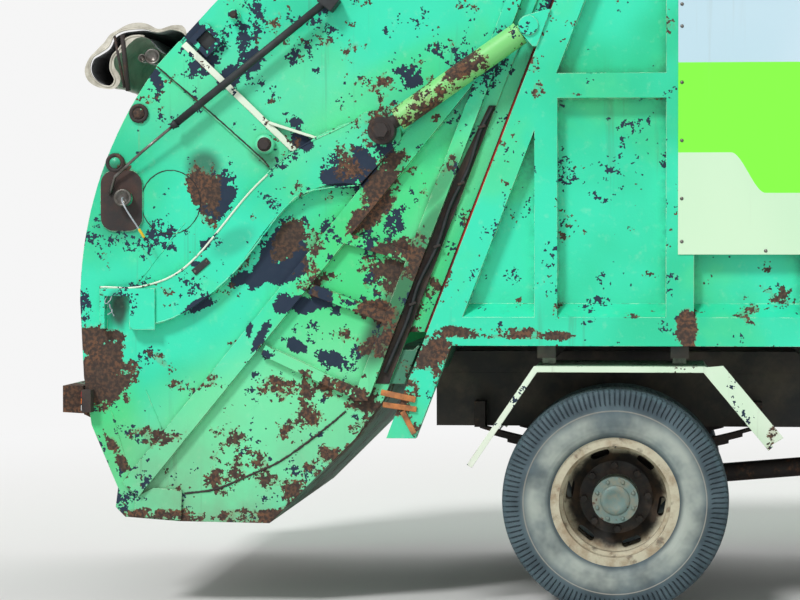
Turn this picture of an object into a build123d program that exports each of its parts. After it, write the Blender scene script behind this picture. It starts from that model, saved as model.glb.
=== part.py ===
# Rear-loading compactor garbage truck, in millimetres.
# The model is drawn with X = 0 at the rear axle, X forward, Y to the left and Z up from the ground.
# It is moved along X at the end, so that the origin lies under the middle of the whole truck.
from build123d import *
from math import atan2, cos, degrees, hypot, radians, sin, tan
import os

# Driving sizes
REAR_OVERHANG = 2471.0
WHEELBASE = 4400.0
FRONT_OVERHANG = 1400.0
TYRE_R = 500.0
BODY_Y = 1200.0
BODY_TOP_Z = 3030.0
FLOOR_Z = 1186.0
CAB_Y = 1130.0
CAB_TOP_Z = 2740.0
TOTAL_LENGTH = REAR_OVERHANG + WHEELBASE + FRONT_OVERHANG
REAR_AXLE_X = REAR_OVERHANG - TOTAL_LENGTH / 2
FRONT_X = WHEELBASE + FRONT_OVERHANG
BEYOND = 9000.0

# Clearances and sheets
SEAT_GAP = 0.3
PIN_GAP = 0.5
RUN_GAP = 5.0
PLATE = 8.0

# Tyres, 9.00-20 size
TYRE_WIDTH = 256.0
TREAD_HALF = 96.0
SHOULDER_DROP = 8.0
WALL_DROP = 28.0
AXLE_Z = TYRE_R
REAR_OUTER_Y = 1036.0
DUAL_PITCH = 286.0
REAR_INNER_Y = REAR_OUTER_Y - DUAL_PITCH
FRONT_WHEEL_Y = 975.0

# Dished disc wheels
RIM_FLANGE_R = 286.0
RIM_SEAT_R = 254.0
RIM_WELL_R = 238.0
RIM_WELL_HALF = 22.0
RIM_WELL_RAMP = 18.0
RIM_WALL = 9.0
RIM_HALF = 95.0
DISC_THICK = 12.0
DISC_OUT = DUAL_PITCH / 2
DISC_FLAT_R = 168.0
CONE_FOOT = 64.0
HAND_HOLE_PITCH_R = 206.0
HAND_HOLE_LENGTH = 88.0
HAND_HOLE_WIDTH = 30.0
HAND_HOLE_START = 50.0
HAND_HOLES = 6
NUT_PCD_R = 142.5
NUT_R = 17.0
NUT_LENGTH = 28.0
NUT_START = 3.0
NUTS = 8
HUB_CAP_R = 102.0
HUB_CAP_OUT = 20.0
FRONT_HUB_OUT = 178.0
REAR_DRUM_R = 205.0
FRONT_DRUM_R = 190.0
FRONT_DRUM_IN = 65.0
DRUM_WIDTH = 110.0

# Axles and steering
SPINDLE_R = 38.0
REAR_SPINDLE = 100.0
FRONT_SPINDLE = 30.0
HOUSING_R = 70.0
BANJO_R = 195.0
BANJO_HALF = 150.0
NOSE_R = (130.0, 80.0)
NOSE_X = (120.0, 320.0)
PINION_RISE = 10.0
SHAFT_R = 45.0
YOKE_R = 62.0
YOKE_LENGTH = 20.0
SEAT_PAD_HALF = (80.0, 35.0)
GEARBOX_Z = 765.0
GEARBOX_REAR_X = WHEELBASE - 1100.0
BEAM_TOP_DROP = 5.0
BEAM_BOTTOM_DROP = 85.0
BEAM_HALF = 45.0
BEAM_PAD_HALF = (60.0, 40.0)
KING_PIN_Y = 800.0
KING_PIN_R = 20.0
KING_PIN_LENGTH = 190.0
KING_PIN_DROP = 30.0
KING_EYE_R = 48.0
KING_EYE_HEIGHT = 110.0
FORK_HALF = 50.0
FORK_Y = (-60.0, 66.0)
FORK_Z = (-125.0, 65.0)
FORK_GAP_Z = (-90.0, 30.0)
FORK_BACK = 10.0
STEER_ARM = 200.0
STEER_ARM_HALF = 20.0

# Ladder frame
RAIL_OUTER_Y = 425.0
RAIL_WIDTH = 80.0
RAIL_INNER_Y = RAIL_OUTER_Y - RAIL_WIDTH
RAIL_BOTTOM_Z = 780.0
RAIL_TOP_Z = 1030.0
RAIL_WALL = 8.0
RAIL_REAR_X = -850.0
RAIL_FRONT_X = WHEELBASE + 1240.0
CROSS_X = (-780.0, 900.0, 1700.0, 2500.0, WHEELBASE - 1180.0, WHEELBASE + 1100.0)
CROSS_WIDTH = 60.0
CROSS_MARGIN = 35.0

# Leaf springs
LEAF_THICK = 14.0
LEAF_SHORTENING = 0.7
SPRING_WIDTH = 75.0
REAR_SPRING_Y = RAIL_OUTER_Y + 15.0
REAR_SPRING_HALF = 640.0
REAR_SPRING_RISE = 190.0
REAR_LEAVES = 7
FRONT_SPRING_Y = RAIL_OUTER_Y - SPRING_WIDTH
FRONT_SPRING_HALF = 700.0
FRONT_SPRING_RISE = 130.0
FRONT_LEAVES = 5
REAR_SPRING_SAG = 100.0
FRONT_SPRING_SAG = 110.0
REAR_SEAT_HALF = 90.0
REAR_SEAT_TOP = 110.0
HANGER_HALF = 25.0
REAR_HANGER = 120.0
FRONT_HANGER = 80.0

# Engine, tanks, guards and exhaust
ENGINE_X = (WHEELBASE - 410.0, WHEELBASE + 480.0)
ENGINE_Y = 290.0
ENGINE_Z = (690.0, 1070.0)
GEARBOX_R = (130.0, 230.0)
TANK_REAR_X = WHEELBASE - 2950.0
FUEL_LENGTH = 1000.0
FUEL_WIDTH = 560.0
FUEL_Z = (560.0, 1000.0)
FUEL_CORNER_R = 70.0
BATTERY_LENGTH = 650.0
BATTERY_WIDTH = 480.0
BATTERY_Z = (620.0, 1000.0)
AIR_TANK_R = 130.0
AIR_TANK_LENGTH = 560.0
AIR_TANK_X = TANK_REAR_X + 970.0
AIR_TANK_Y = RAIL_OUTER_Y + 150.0
AIR_TANK_Z = 860.0
AIR_HANGER = (440.0, 60.0, 70.0)
BATTERY_CORNER_R = 20.0
SIDE_GUARD_X = (980.0, WHEELBASE - 1050.0)
SIDE_GUARD_Y = 1150.0
SIDE_GUARD_THICK = 30.0
SIDE_GUARD_HEIGHT = 90.0
SIDE_GUARD_Z = (560.0, 860.0)
SIDE_GUARD_POST = 40.0
SIDE_GUARD_INSET = (220.0, 250.0)
SILENCER_X = WHEELBASE - 1180.0
SILENCER_R = 115.0
SILENCER_LENGTH = 620.0
SILENCER_Y = RAIL_OUTER_Y + 160.0
SILENCER_Z = 850.0
STRAP_X = 180.0
STRAP_HALF = 20.0
EXHAUST_R = 38.0
EXHAUST_LENGTH = 940.0

# Subframe and container
SUBFRAME_TOP_Z = 1130.0
BEARER_WIDTH = 80.0
PANEL_Y = BODY_Y - 70.0
SKIN_Y = PANEL_Y - PLATE
BODY_BACK_X = -1200.0
FRONT_WALL_X = WHEELBASE - 574.0
FRONT_RIB = 40.0
FRONT_RIB_HALF = 40.0
FRONT_RIB_PITCH = 480.0
ROOF_CROWN = 30.0
ROOF_RIB = 26.0
POST_PITCH = 582.0
POST_FIRST_X = 282.0
POST_WIDTH = 121.0
POST_COUNT = 6
REAR_POST_X = -300.0
REAR_POST_WIDTH = 100.0
BOTTOM_RAIL = (FLOOR_Z, FLOOR_Z + 125.0)
MID_RAIL = (BODY_TOP_Z - 767.0, BODY_TOP_Z - 659.0)
TOP_RAIL_HEIGHT = 90.0
LEDGE_RISE = 58.0
END_SILL_DROP = 126.0
END_BEAM = 100.0

# The leaning joint between container and tailgate
BEAM_BOTTOM_Z = 780.0
SEAM_FOOT_X = -998.6
SEAM_SLOPE = 0.3861
BEAM_WIDTH = 130.0

# Tailgate hinge
HINGE_Z = BODY_TOP_Z + 70.0
HINGE_X = SEAM_FOOT_X + SEAM_SLOPE * (HINGE_Z - BEAM_BOTTOM_Z) - 7.0
HINGE_EAR_R = 40.0
HINGE_PIN_R = 20.0
EAR_Y = (700.0, 800.0)
EAR_THICK = 15.0
BODY_EAR_FOOT = (0.0, 170.0)
GATE_EAR_FOOT = (-350.0, -130.0)
EAR_FOOT_HEIGHT = 10.0

# Mudguards over the rear wheels, as (X, Z) along the plate, and flaps behind the front wheels
GUARD_OUTER_Y = 1170.0
GUARD_INNER_Y = 610.0
GUARD_PLATE = 5.0
GUARD_STRIP = 26.0
GUARD_LIP = 6.0
GUARD_LINE = ((-636.0, 668.0), (-346.0, 1094.0), (391.0, 1094.0), (676.0, 752.0))
GUARD_APRON = ((391.0, 1094.0), (470.0, 1101.0), (731.0, 789.0), (657.0, 745.0))
GUARD_HANGER_HALF = 30.0
GUARD_HANGER_Y = (880.0, 890.0)
FLAP_R = 640.0
FLAP_DEGREES = (150.0, 206.0)
FLAP_TUBE_DEGREES = 163.0
FLAP_TUBE_R = 20.0
FLAP_FOOT = 10.0
FLAP_Y = (840.0, 1110.0)

# Sign panels
SIGN_X = (273.0, FRONT_WALL_X - 266.0)
SIGN_Z = (1584.0, BODY_TOP_Z - 90.0)
SIGN_THICK = 5.0

# Tailgate walls
GATE_Y = 1050.0
GATE_PLATE = 10.0
GATE_INNER_Y = GATE_Y - GATE_PLATE
GATE_FRONT_GAP = 90.0
GATE_FLANGE_GAP = 25.0
GATE_FLANGE = 40.0
GATE_FLANGE_FOOT_Z = 1240.0
GATE_ROOF_Z = BODY_TOP_Z
GATE_ROOF_REAR_X = -1470.0
GATE_FOOT_Z = 936.0
GATE_UNDERSIDE = ((-2375.0, 1035.0), (-2341.0, 821.0), (-2222.0, 539.0), (-2233.0, 454.0), (-2190.0, 410.0),
                  (-1945.0, 392.0), (-1539.0, 386.0), (-1156.0, 764.0))
MOUTH_TOP_Z = GATE_ROOF_Z - 740.0
REAR_TOP = (-2041.0, GATE_ROOF_Z - 611.0)
REAR_LOW = (-2391.0, 1379.0)
REAR_BULGE = (-2297.0, (REAR_TOP[1] + REAR_LOW[1]) / 2 + 31.0)
TRIM_PROUD = 35.0
ARM_PROUD = 50.0
BAND_PROUD = 14.0
GUIDE_DEG = 50.7
GUIDE_FOOT = (-2122.0, 504.0)
GUIDE_LENGTH = 2372.0
GUIDE_WIDTH = 98.0
RIB_WIDTH = 48.0
BAND_WIDTH = 150.0
FRAME_GAPS = (155.0, 225.0)
GATE_BAND = ((-1990.0, GATE_ROOF_Z - 552.0), (-1440.0, GATE_ROOF_Z - 1045.0))
GATE_RIBS = (((-1190.0, 1655.0), (-880.0, 1566.0)), ((-1350.0, 1431.0), (-995.0, 1297.0)),
             ((-1560.0, 1160.0), (-1120.0, 955.0)))

# The bent beam from the cylinder's pin to the rear corner, as (X, Z) along its two edges
ARM_UPPER = ((-2290.0, 1438.0), (-2087.0, 1444.0), (-1884.0, 1545.0), (-1613.0, 1861.0), (-1421.0, 2036.0),
             (-1150.0, 2172.0))
ARM_LOWER = ((-1128.0, 1890.0), (-1350.0, 1862.0), (-1466.0, 1782.0), (-1692.0, 1500.0), (-1929.0, 1319.0),
             (-2155.0, 1252.0))
ARM_END = ((-1005.0, 2205.0), (-945.0, 2085.0))
ARM_POCKET = ((-2268.0, -2158.0), (1240.0, 1398.0))

# Fittings on the tailgate's walls: round bosses as (X, Z, radius, height), the lamp's base, the square socket
GATE_BOSSES = ((-2183.0, 1835.0, 36.0, 55.0), (GATE_ROOF_REAR_X - 217.0, GATE_ROOF_Z - 386.0, 22.0, 48.0),
               (-1551.0, 2070.0, 40.0, 44.0), (REAR_TOP[0] - 80.0, REAR_TOP[1] - 208.0, 40.0, 8.0),
               (REAR_TOP[0] - 187.0, REAR_TOP[1] - 428.0, 40.0, 8.0))
LAMP_BASE = (-2200.0, 1822.0, 190.0, 270.0)
LAMP_BASE_R = 60.0
LAMP_BASE_THICK = 10.0
SOCKET = (-1811.0, GATE_ROOF_Z - 497.0, 110.0, 66.0)
SOCKET_OUT = 34.0

# The loose wire of the right lamp, as points from the boss to its cut end
WIRE_R = 3.5
WIRE_LINE = ((-2183.0, -1105.0, 1835.0), (-2183.0, -1135.0, 1835.0), (-2172.0, -1156.0, 1808.0),
             (-2146.0, -1152.0, 1762.0), (-2110.0, -1134.0, 1704.0), (-2076.0, -1120.0, 1644.0))
BEND_SHARE = 0.45

# Hopper
TUB_R = 1200.0
TUB_BOTTOM_Z = 505.0
TUB_CENTRE = (-2035.0, TUB_BOTTOM_Z + TUB_R)
TUB_PLATE = 10.0
TUB_REAR_X = -2208.0
TUB_REAR_TOP = (-2352.0, 985.0)
TUB_BEAM_Z = (1010.0, 1160.0)
TUB_BEAM_DEPTH = 120.0
TUB_FOOT_HIGH = 84.0
TUB_FOOT_DEPTH = 60.0
UNDERSIDE_REAR_Z = 860.0
UNDERSIDE_FRONT = (-1085.0, 1000.0)
UNDERSIDE_TURN_X = -1300.0
RAMP_DEG = 45.5
RAMP_RUN = 440.0
SILL_X = (-REAR_OVERHANG, -2378.0)
SILL_TOP_Z = 996.0
SILL_BOTTOM_Z = (877.0, 867.0)
SILL_EDGE_X = (-2357.0, -2340.0)
SILL_EDGE_Z = (990.0, 850.0)
LAMP_X = (-2371.0, -2330.0)
LAMP_Z = (880.0, 980.0)
LAMP_OUT = 60.0

# Loosely rolled canvas behind the mouth's upper edge, as (X, Z) round its outside
CANVAS_LINE = ((-1900.0, GATE_ROOF_Z - 460.0), (-2200.0, GATE_ROOF_Z - 438.0), (-2250.0, GATE_ROOF_Z - 530.0),
               (-2350.0, GATE_ROOF_Z - 570.0), (-2350.0, GATE_ROOF_Z - 670.0), (-2265.0, GATE_ROOF_Z - 712.0),
               (-2100.0, GATE_ROOF_Z - 725.0), (-1900.0, GATE_ROOF_Z - 730.0))
CANVAS_FOLD_R = 40.0

# Packing mechanism, with the carriage at the top of its travel
PIVOT_LOW = (-1720.0, 1290.0)
CARRIAGE_STROKE = 650.0
CARRIAGE_LENGTH = 700.0
CARRIAGE_THICK = 100.0
CARRIAGE_Y = 992.0
CARRIAGE_START = 80.0
CARRIAGE_SKIN = 14.0
CARRIAGE_RIB_Y = (-480.0, 0.0, 480.0)
CHEEK_THICK = 36.0
BLADE_DEG = -53.0
BLADE_LENGTH = 655.0
BLADE_TUBE_R = 58.0
BLADE_PIN_R = 30.0
BLADE_ROOT = (40.0, -38.0, 42.0)
BLADE_MIDDLE = (0.55 * BLADE_LENGTH, 6.0, 78.0)
BLADE_TIP_HALF = 12.0
SHOE_LENGTH = 420.0
SHOE_WIDTH = 100.0
GUIDE_STRIP = 22.0
TRACK_DEPTH = 36.0
TRACK_OVERRUN = (150.0, 40.0)

# Ejector
EJECTOR_FOOT_X = FRONT_WALL_X - 1046.0
EJECTOR_TOP_Z = BODY_TOP_Z - 130.0
EJECTOR_SIDE_GAP = 8.0
EJECTOR_SKIN = 16.0
EJECTOR_DEPTH = 120.0
EJECTOR_WEB = 12.0
EJECTOR_WEB_Y = 300.0

# Lift cylinders of the tailgate
CYL_Y = 1158.0
CYL_TOP = (-374.0, 2577.0)
CYL_EYE = (-1021.0, 2126.0)
BARREL_R = 51.5
BARREL_HEAD = 48.0
BARREL_TAIL = 84.0
BARREL_LUG_R = 40.0
BARREL_NECK_R = 34.0
GLAND_LENGTH = 26.0
ROD_R = 30.0
ROD_START = BARREL_HEAD + 66.0
ROD_BORE_LEAD = 10.0
BARREL_LUG_Y = (-45.0, 41.0)
EYE_NUT_R = 34.0
EYE_NUT_OUT = 58.0
EYE_R = 60.0
EYE_OUT = 30.0
LUG_THICK = 9.0
LUG_R = 46.0
LUG_BASE = 18.0
LUG_BASE_REACH = (90.0, 70.0)
LUG_Y = (CYL_Y - 50.0, CYL_Y + 46.0)
TOP_PIN_R = 22.0
TOP_PIN_HEAD = (42.0, 10.0)

# Cab
CAB_FRONT_X = WHEELBASE + 1350.0
CAB_LENGTH = 1790.0
CAB_REAR_X = CAB_FRONT_X - CAB_LENGTH
CAB_BOTTOM_Z = 1100.0
CAB_WAIST_Z = 1740.0
CAB_WALL = 46.0
CAB_CORNER_R = 120.0
CAB_FLOOR_Z = CAB_BOTTOM_Z + CAB_WALL
CAB_WINDSCREEN = ((CAB_FRONT_X - 270.0, CAB_TOP_Z - 50.0), (CAB_FRONT_X - 20.0, 1880.0))
SCREEN_WIDTH = 1960.0
SCREEN_MARGIN = 110.0
SCREEN_CORNER_R = 60.0
REAR_WINDOW = (1000.0, 420.0)
REAR_WINDOW_Z = 2200.0
REAR_WINDOW_R = 50.0
GLASS = 8.0
SCREEN_DEPTH = 20.0
REAR_WINDOW_DEPTH = 18.0
DOOR_GLASS_DEPTH = 30.0
ROOF_CUT = (90.0, 70.0)
BROW = 380.0
SKIRT_Z = 880.0
STEP_Z = 860.0
STEP_X = (CAB_FRONT_X - 740.0, CAB_FRONT_X - 60.0)
STEP_INNER_Y = 560.0
STEP_CORNER_R = 110.0
TREAD_DEPTH = 190.0
TREAD_X = (60.0, 90.0)
TREAD_Z = (30.0, 20.0)
SKIRT_REACH = 50.0

# Cab doors
DOOR_X = (CAB_FRONT_X - 1030.0, CAB_FRONT_X - 190.0)
DOOR_Z = (1180.0, CAB_TOP_Z - 140.0)
DOOR_LEAN_Z = 1800.0
DOOR_GAP = 7.0
DOOR_FRAME = 90.0
DOOR_SILL_Z = 1850.0
DOOR_PILLAR = 180.0
DOOR_HINGE_Z = (1320.0, 1765.0)
HINGE_BARREL_R = 11.0
HINGE_WIRE_R = 5.0
HINGE_BARREL = 40.0
HINGE_LEAF = 6.0
DOOR_LEAF_LENGTH = 60.0
POST_LEAF_LENGTH = 45.0

# Cab mounts
TILT_X = CAB_FRONT_X - 78.0
TILT_Z = 850.0
TILT_PIN_R = 18.0
TILT_EAR_R = 32.0
TILT_EAR_Y = (RAIL_OUTER_Y + 17.0, RAIL_OUTER_Y + 67.0)
MOUNT_PLATE = 12.0
REST_X = (CAB_REAR_X + 60.0, CAB_REAR_X + 160.0)

# Seats, dashboard and mirrors
SEAT_Y = 560.0
SEAT_SETBACK = 540.0
SEAT_LENGTH = 520.0
SEAT_X = (CAB_REAR_X + SEAT_SETBACK, CAB_REAR_X + SEAT_SETBACK + SEAT_LENGTH)
SEAT_BASE_INSET = (60.0, 50.0)
SEAT_BACK_FOOT = (20.0, 80.0)
SEAT_BACK_LEAN = 140.0
SEAT_BASE_HEIGHT = 240.0
SEAT_CUSHION = 130.0
SEAT_BACK = 680.0
SEAT_HALF = 240.0
DASH_LINE = ((-60.0, 1800.0), (-330.0, 1820.0), (-400.0, 1760.0), (-380.0, 1560.0), (-200.0, 1480.0))
DASH_SIDE_GAP = 60.0
STEER_WHEEL_R = 225.0
STEER_WHEEL_X = CAB_FRONT_X - 620.0
STEER_WHEEL_Z = 1800.0
STEER_COLUMN = (270.0, 160.0)
STEER_COLUMN_R = 28.0
STEER_TUBE = 22.0
MIRROR_TUBE_R = 12.0
MIRROR_OUT = 150.0
MIRROR_X = CAB_FRONT_X + 10.0
MIRROR_TUBE_Z = (1688.0, 2512.0)
MIRROR_ARMS = ((CAB_FRONT_X - 154.0, 1670.0, 1700.0), (CAB_FRONT_X - 400.0, CAB_TOP_Z - 75.0, 2500.0))
MIRROR_FOOT_HALF = (20.0, 25.0)
MIRROR_HEAD_X = (-15.0, 40.0)
MIRROR_HEAD_Z = (1880.0, 2300.0)
MIRROR_HEAD_HALF = 90.0
MIRROR_CORNER_R = 30.0

# Grille, bumper and lamps
GRILLE_HALF = 620.0
GRILLE_Z = (1180.0, 1620.0)
SLATS = 6
SLAT_PITCH = 74.0
SLAT_LINE = ((4.0, 20.0), (26.0, 28.0), (26.0, 42.0), (4.0, 60.0))
GRILLE_BACK = 6.0
BUMPER_Z = (470.0, 800.0)
BUMPER_DEPTH = 360.0
BUMPER_CORNER_R = 140.0
BUMPER_WALL = 30.0
LAMP_Y = 830.0
LAMP_HALF = 130.0
HEADLAMP_Z = (560.0, 700.0)
LAMP_POCKET = 60.0
LAMP_CORNER_R = 20.0
BUMPER_OPEN = (330.0, 60.0)
BUMPER_LIP = 10.0
BUMPER_ARM = 200.0
BUMPER_HOOK = 20.0


# Basic shapes
def block(x_range, y_range, z_range):
    """A box between pairs of limits."""
    size = [high - low for low, high in (x_range, y_range, z_range)]
    centre = [(high + low) / 2 for low, high in (x_range, y_range, z_range)]
    return Pos(*centre) * Box(*size)


def around(middle, half):
    """A pair of limits on both sides of a middle."""
    return (middle - half, middle + half)


def on_side(sign, near, far):
    """A pair of limits of Y on the side that the sign gives."""
    return tuple(sorted((sign * near, sign * far)))


def side_plane(y):
    """The plane whose sketches are drawn in X and Z, at the given Y."""
    return Plane(origin=(0, y, 0), x_dir=(1, 0, 0), z_dir=(0, -1, 0))


def side_solid(sketch, y_range):
    """A sketch in X and Z, made solid between two values of Y."""
    low, high = min(y_range), max(y_range)
    return extrude(side_plane(high) * sketch, amount=high - low, dir=(0, -1, 0))


def cross_plane(x, z=0.0):
    """The plane whose sketches are drawn in Y and Z, at the given X."""
    return Plane(origin=(x, 0, z), x_dir=(0, 1, 0), z_dir=(1, 0, 0))


def outline(*points):
    """A closed straight-sided sketch."""
    return Polygon(*points, align=None)


def pin_y(x, z, radius, y_range):
    """A round bar along Y."""
    return side_solid(Pos(x, z) * Circle(radius), y_range)


def tube_y(radius, length):
    """A cylinder along Y, with its middle at the origin."""
    return Rot(90, 0, 0) * Cylinder(radius, length)


def tube_x(radius, length):
    """A cylinder along X, with its middle at the origin."""
    return Rot(0, 90, 0) * Cylinder(radius, length)


def rod(start, end, radius):
    """A round bar between two points."""
    axis = Vector(*end) - Vector(*start)
    return extrude(Plane(origin=start, z_dir=axis.normalized()) * Circle(radius), amount=axis.length)


def fuse(pieces):
    """One solid from a list of pieces."""
    body = pieces[0]
    for piece in pieces[1:]:
        body = body + piece
    return body


def together(*shapes):
    """Separate solids kept in one node."""
    return Compound([solid for shape in shapes for solid in shape.solids()])


def other_side(piece):
    """The mirror image on the far side of the truck."""
    return mirror(piece, Plane.XZ)


def both_sides(piece):
    """A piece and its mirror image, as separate solids."""
    return together(piece, other_side(piece))


def seam_x(z, gap=0.0):
    """X of the leaning joint at a height, moved back by a gap along X."""
    return SEAM_FOOT_X + SEAM_SLOPE * (z - BEAM_BOTTOM_Z) - gap


def seam_bar(z_low, z_high, gap_front, gap_rear):
    """A sketch of a bar that follows the leaning joint."""
    return outline(
        (seam_x(z_low, gap_rear), z_low),
        (seam_x(z_low, gap_front), z_low),
        (seam_x(z_high, gap_front), z_high),
        (seam_x(z_high, gap_rear), z_high),
    )


def slanted_bar(start, end, width):
    """A sketch of a straight bar with square ends between two points on its middle line."""
    length = hypot(end[0] - start[0], end[1] - start[1])
    angle = degrees(atan2(end[1] - start[1], end[0] - start[0]))
    middle = ((start[0] + end[0]) / 2, (start[1] + end[1]) / 2)
    return Pos(*middle) * Rot(0, 0, angle) * Rectangle(length, width)


# Wheels
def turned(section, y_centre):
    """A section drawn as radius and offset along the axle, turned about the rear axle's line."""
    plane = Plane(origin=(0, y_centre, 0), x_dir=(1, 0, 0), z_dir=(0, 0, 1))
    return Pos(0, 0, AXLE_Z) * revolve(plane * section, Axis.Y)


def tyre(y_centre):
    """A tyre with bulging walls and round shoulders."""
    half = TYRE_WIDTH / 2
    bead = RIM_SEAT_R + SEAT_GAP
    half_bead = RIM_HALF - RIM_WALL - SEAT_GAP
    foot = (RIM_FLANGE_R + 4, half_bead)
    widest = ((RIM_FLANGE_R + TYRE_R) / 2, half)
    wall_top = (TYRE_R - WALL_DROP, TREAD_HALF + 16)
    shoulder = (TYRE_R - SHOULDER_DROP, TREAD_HALF + 4)
    tread_end = (TYRE_R, TREAD_HALF - 20)
    lines = [Line((bead, 0), (bead, half_bead)), Line((bead, half_bead), foot),
             ThreePointArc(foot, widest, wall_top), ThreePointArc(wall_top, shoulder, tread_end),
             Line(tread_end, (TYRE_R, 0))]
    edges = [edge for line in lines for edge in line.edges()]
    mirrored = [edge.mirror(Plane.XZ) for edge in edges]
    return turned(make_face([*edges, *mirrored]), y_centre)


def rim_section():
    """Section of a rim: flanges, bead seats and the well between them."""
    lip, slope = RIM_HALF - RIM_WALL, RIM_WELL_HALF + RIM_WELL_RAMP
    outside = [(RIM_FLANGE_R, RIM_HALF), (RIM_FLANGE_R, lip), (RIM_SEAT_R, lip), (RIM_SEAT_R, slope),
               (RIM_WELL_R, RIM_WELL_HALF)]
    bore_r = RIM_SEAT_R - RIM_WALL
    inside = [(RIM_WELL_R - RIM_WALL, RIM_WELL_HALF), (bore_r, slope), (bore_r, RIM_HALF)]
    ring = outside + [(r, -y) for r, y in reversed(outside)] + [(r, -y) for r, y in reversed(inside)] + inside
    return outline(*ring)


def disc_section(facing):
    """Section of the dished disc: nut flange, cone and foot. facing is the sign of Y of the nut flange."""
    edge_r = RIM_SEAT_R - RIM_WALL + 1
    hub_r = HUB_CAP_R - RUN_GAP
    far = [(hub_r, DISC_OUT), (DISC_FLAT_R, DISC_OUT), (edge_r, CONE_FOOT + DISC_THICK)]
    inner = DISC_OUT - DISC_THICK
    near = [(edge_r, CONE_FOOT), (DISC_FLAT_R - RUN_GAP, inner), (hub_r, inner)]
    return outline(*[(r, facing * y) for r, y in far + near])


def hand_holes():
    """Cutters for the long hand holes round the disc's cone."""
    hole = SlotOverall(HAND_HOLE_LENGTH, HAND_HOLE_WIDTH)
    slot = Rot(90, 0, 0) * extrude(hole, amount=RIM_FLANGE_R, both=True)
    cutters = []
    for index in range(HAND_HOLES):
        angle = HAND_HOLE_START + index * 360 / HAND_HOLES
        x, z = HAND_HOLE_PITCH_R * cos(radians(angle)), HAND_HOLE_PITCH_R * sin(radians(angle))
        cutters.append(Pos(x, 0, z) * Rot(0, -angle - 90, 0) * slot)
    return cutters


def wheel_nuts(y_range):
    """The nuts on the disc's flange."""
    nuts = []
    for index in range(NUTS):
        angle = radians(index * 360 / NUTS + NUT_START)
        place = Pos(NUT_PCD_R * cos(angle), NUT_PCD_R * sin(angle))
        nuts.append(side_solid(place * RegularPolygon(NUT_R, 6), y_range))
    return nuts


def rim(y_centre, facing):
    """A rim with its dished disc and hand holes."""
    disc = turned(disc_section(facing), y_centre)
    for cutter in hand_holes():
        disc = disc - Pos(0, y_centre, AXLE_Z) * cutter
    return turned(rim_section(), y_centre) + disc


def hub(y_range, radius):
    """A round hub on the axle's line."""
    return pin_y(0, AXLE_Z, radius, y_range)


def rear_wheel_nodes():
    """Twin tyres, and the twin rims that meet at their nut flanges, of the left side."""
    outer, inner = REAR_OUTER_Y, REAR_INNER_Y
    middle = (outer + inner) / 2
    drum_low = inner - RIM_HALF
    pieces = [rim(outer, -1), rim(inner, 1), hub((drum_low, outer + HUB_CAP_OUT), HUB_CAP_R),
              hub((drum_low, drum_low + DRUM_WIDTH), REAR_DRUM_R)]
    for nut in wheel_nuts((middle - 1, middle + DISC_THICK + NUT_LENGTH)):
        pieces.append(Pos(0, 0, AXLE_Z) * nut)
    bore = hub((drum_low - 1, inner + REAR_SPINDLE + RUN_GAP), SPINDLE_R + PIN_GAP)
    return together(tyre(outer), tyre(inner)), fuse(pieces) - bore


def front_wheel_nodes():
    """Tyre and rim of the left front wheel, whose nut flange faces out."""
    y = FRONT_WHEEL_Y
    drum_low = y - FRONT_DRUM_IN
    pieces = [rim(y, 1), hub((drum_low, y + FRONT_HUB_OUT), HUB_CAP_R),
              hub((drum_low, drum_low + DRUM_WIDTH), FRONT_DRUM_R)]
    for nut in wheel_nuts((y + DISC_OUT - DISC_THICK + 1, y + DISC_OUT + NUT_LENGTH)):
        pieces.append(Pos(0, 0, AXLE_Z) * nut)
    bore = hub((drum_low - 1, y + FRONT_SPINDLE + RUN_GAP), SPINDLE_R + PIN_GAP)
    return Pos(WHEELBASE, 0, 0) * tyre(y), Pos(WHEELBASE, 0, 0) * (fuse(pieces) - bore)


# Ladder frame and running gear
def chassis_rails():
    """The two channel rails, open towards each other."""
    rail = block((RAIL_REAR_X, RAIL_FRONT_X), (RAIL_INNER_Y, RAIL_OUTER_Y), (RAIL_BOTTOM_Z, RAIL_TOP_Z))
    hollow = block((RAIL_REAR_X - 1, RAIL_FRONT_X + 1), (RAIL_INNER_Y - 1, RAIL_OUTER_Y - RAIL_WALL),
                   (RAIL_BOTTOM_Z + RAIL_WALL, RAIL_TOP_Z - RAIL_WALL))
    return both_sides(rail - hollow)


def cross_members():
    """The box members between the rails."""
    web_in = RAIL_OUTER_Y - RAIL_WALL
    z_range = (RAIL_BOTTOM_Z + CROSS_MARGIN, RAIL_TOP_Z - CROSS_MARGIN)
    return together(*[block(around(x, CROSS_WIDTH / 2), (-web_in, web_in), z_range) for x in CROSS_X])


def bearer_stations():
    """X of the middle of each body post and bearer."""
    return [REAR_POST_X] + [POST_FIRST_X + POST_PITCH * index for index in range(POST_COUNT)]


def subframe():
    """Longerons on the rails with the bearers under the container floor."""
    longeron = block((RAIL_REAR_X, FRONT_WALL_X), (RAIL_INNER_Y, RAIL_OUTER_Y), (RAIL_TOP_Z, SUBFRAME_TOP_Z))
    pieces = [longeron, other_side(longeron)]
    for x in bearer_stations() + [FRONT_WALL_X - BEARER_WIDTH / 2]:
        pieces.append(block(around(x, BEARER_WIDTH / 2), (-PANEL_Y, PANEL_Y), (SUBFRAME_TOP_Z, FLOOR_Z)))
    return fuse(pieces)


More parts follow.
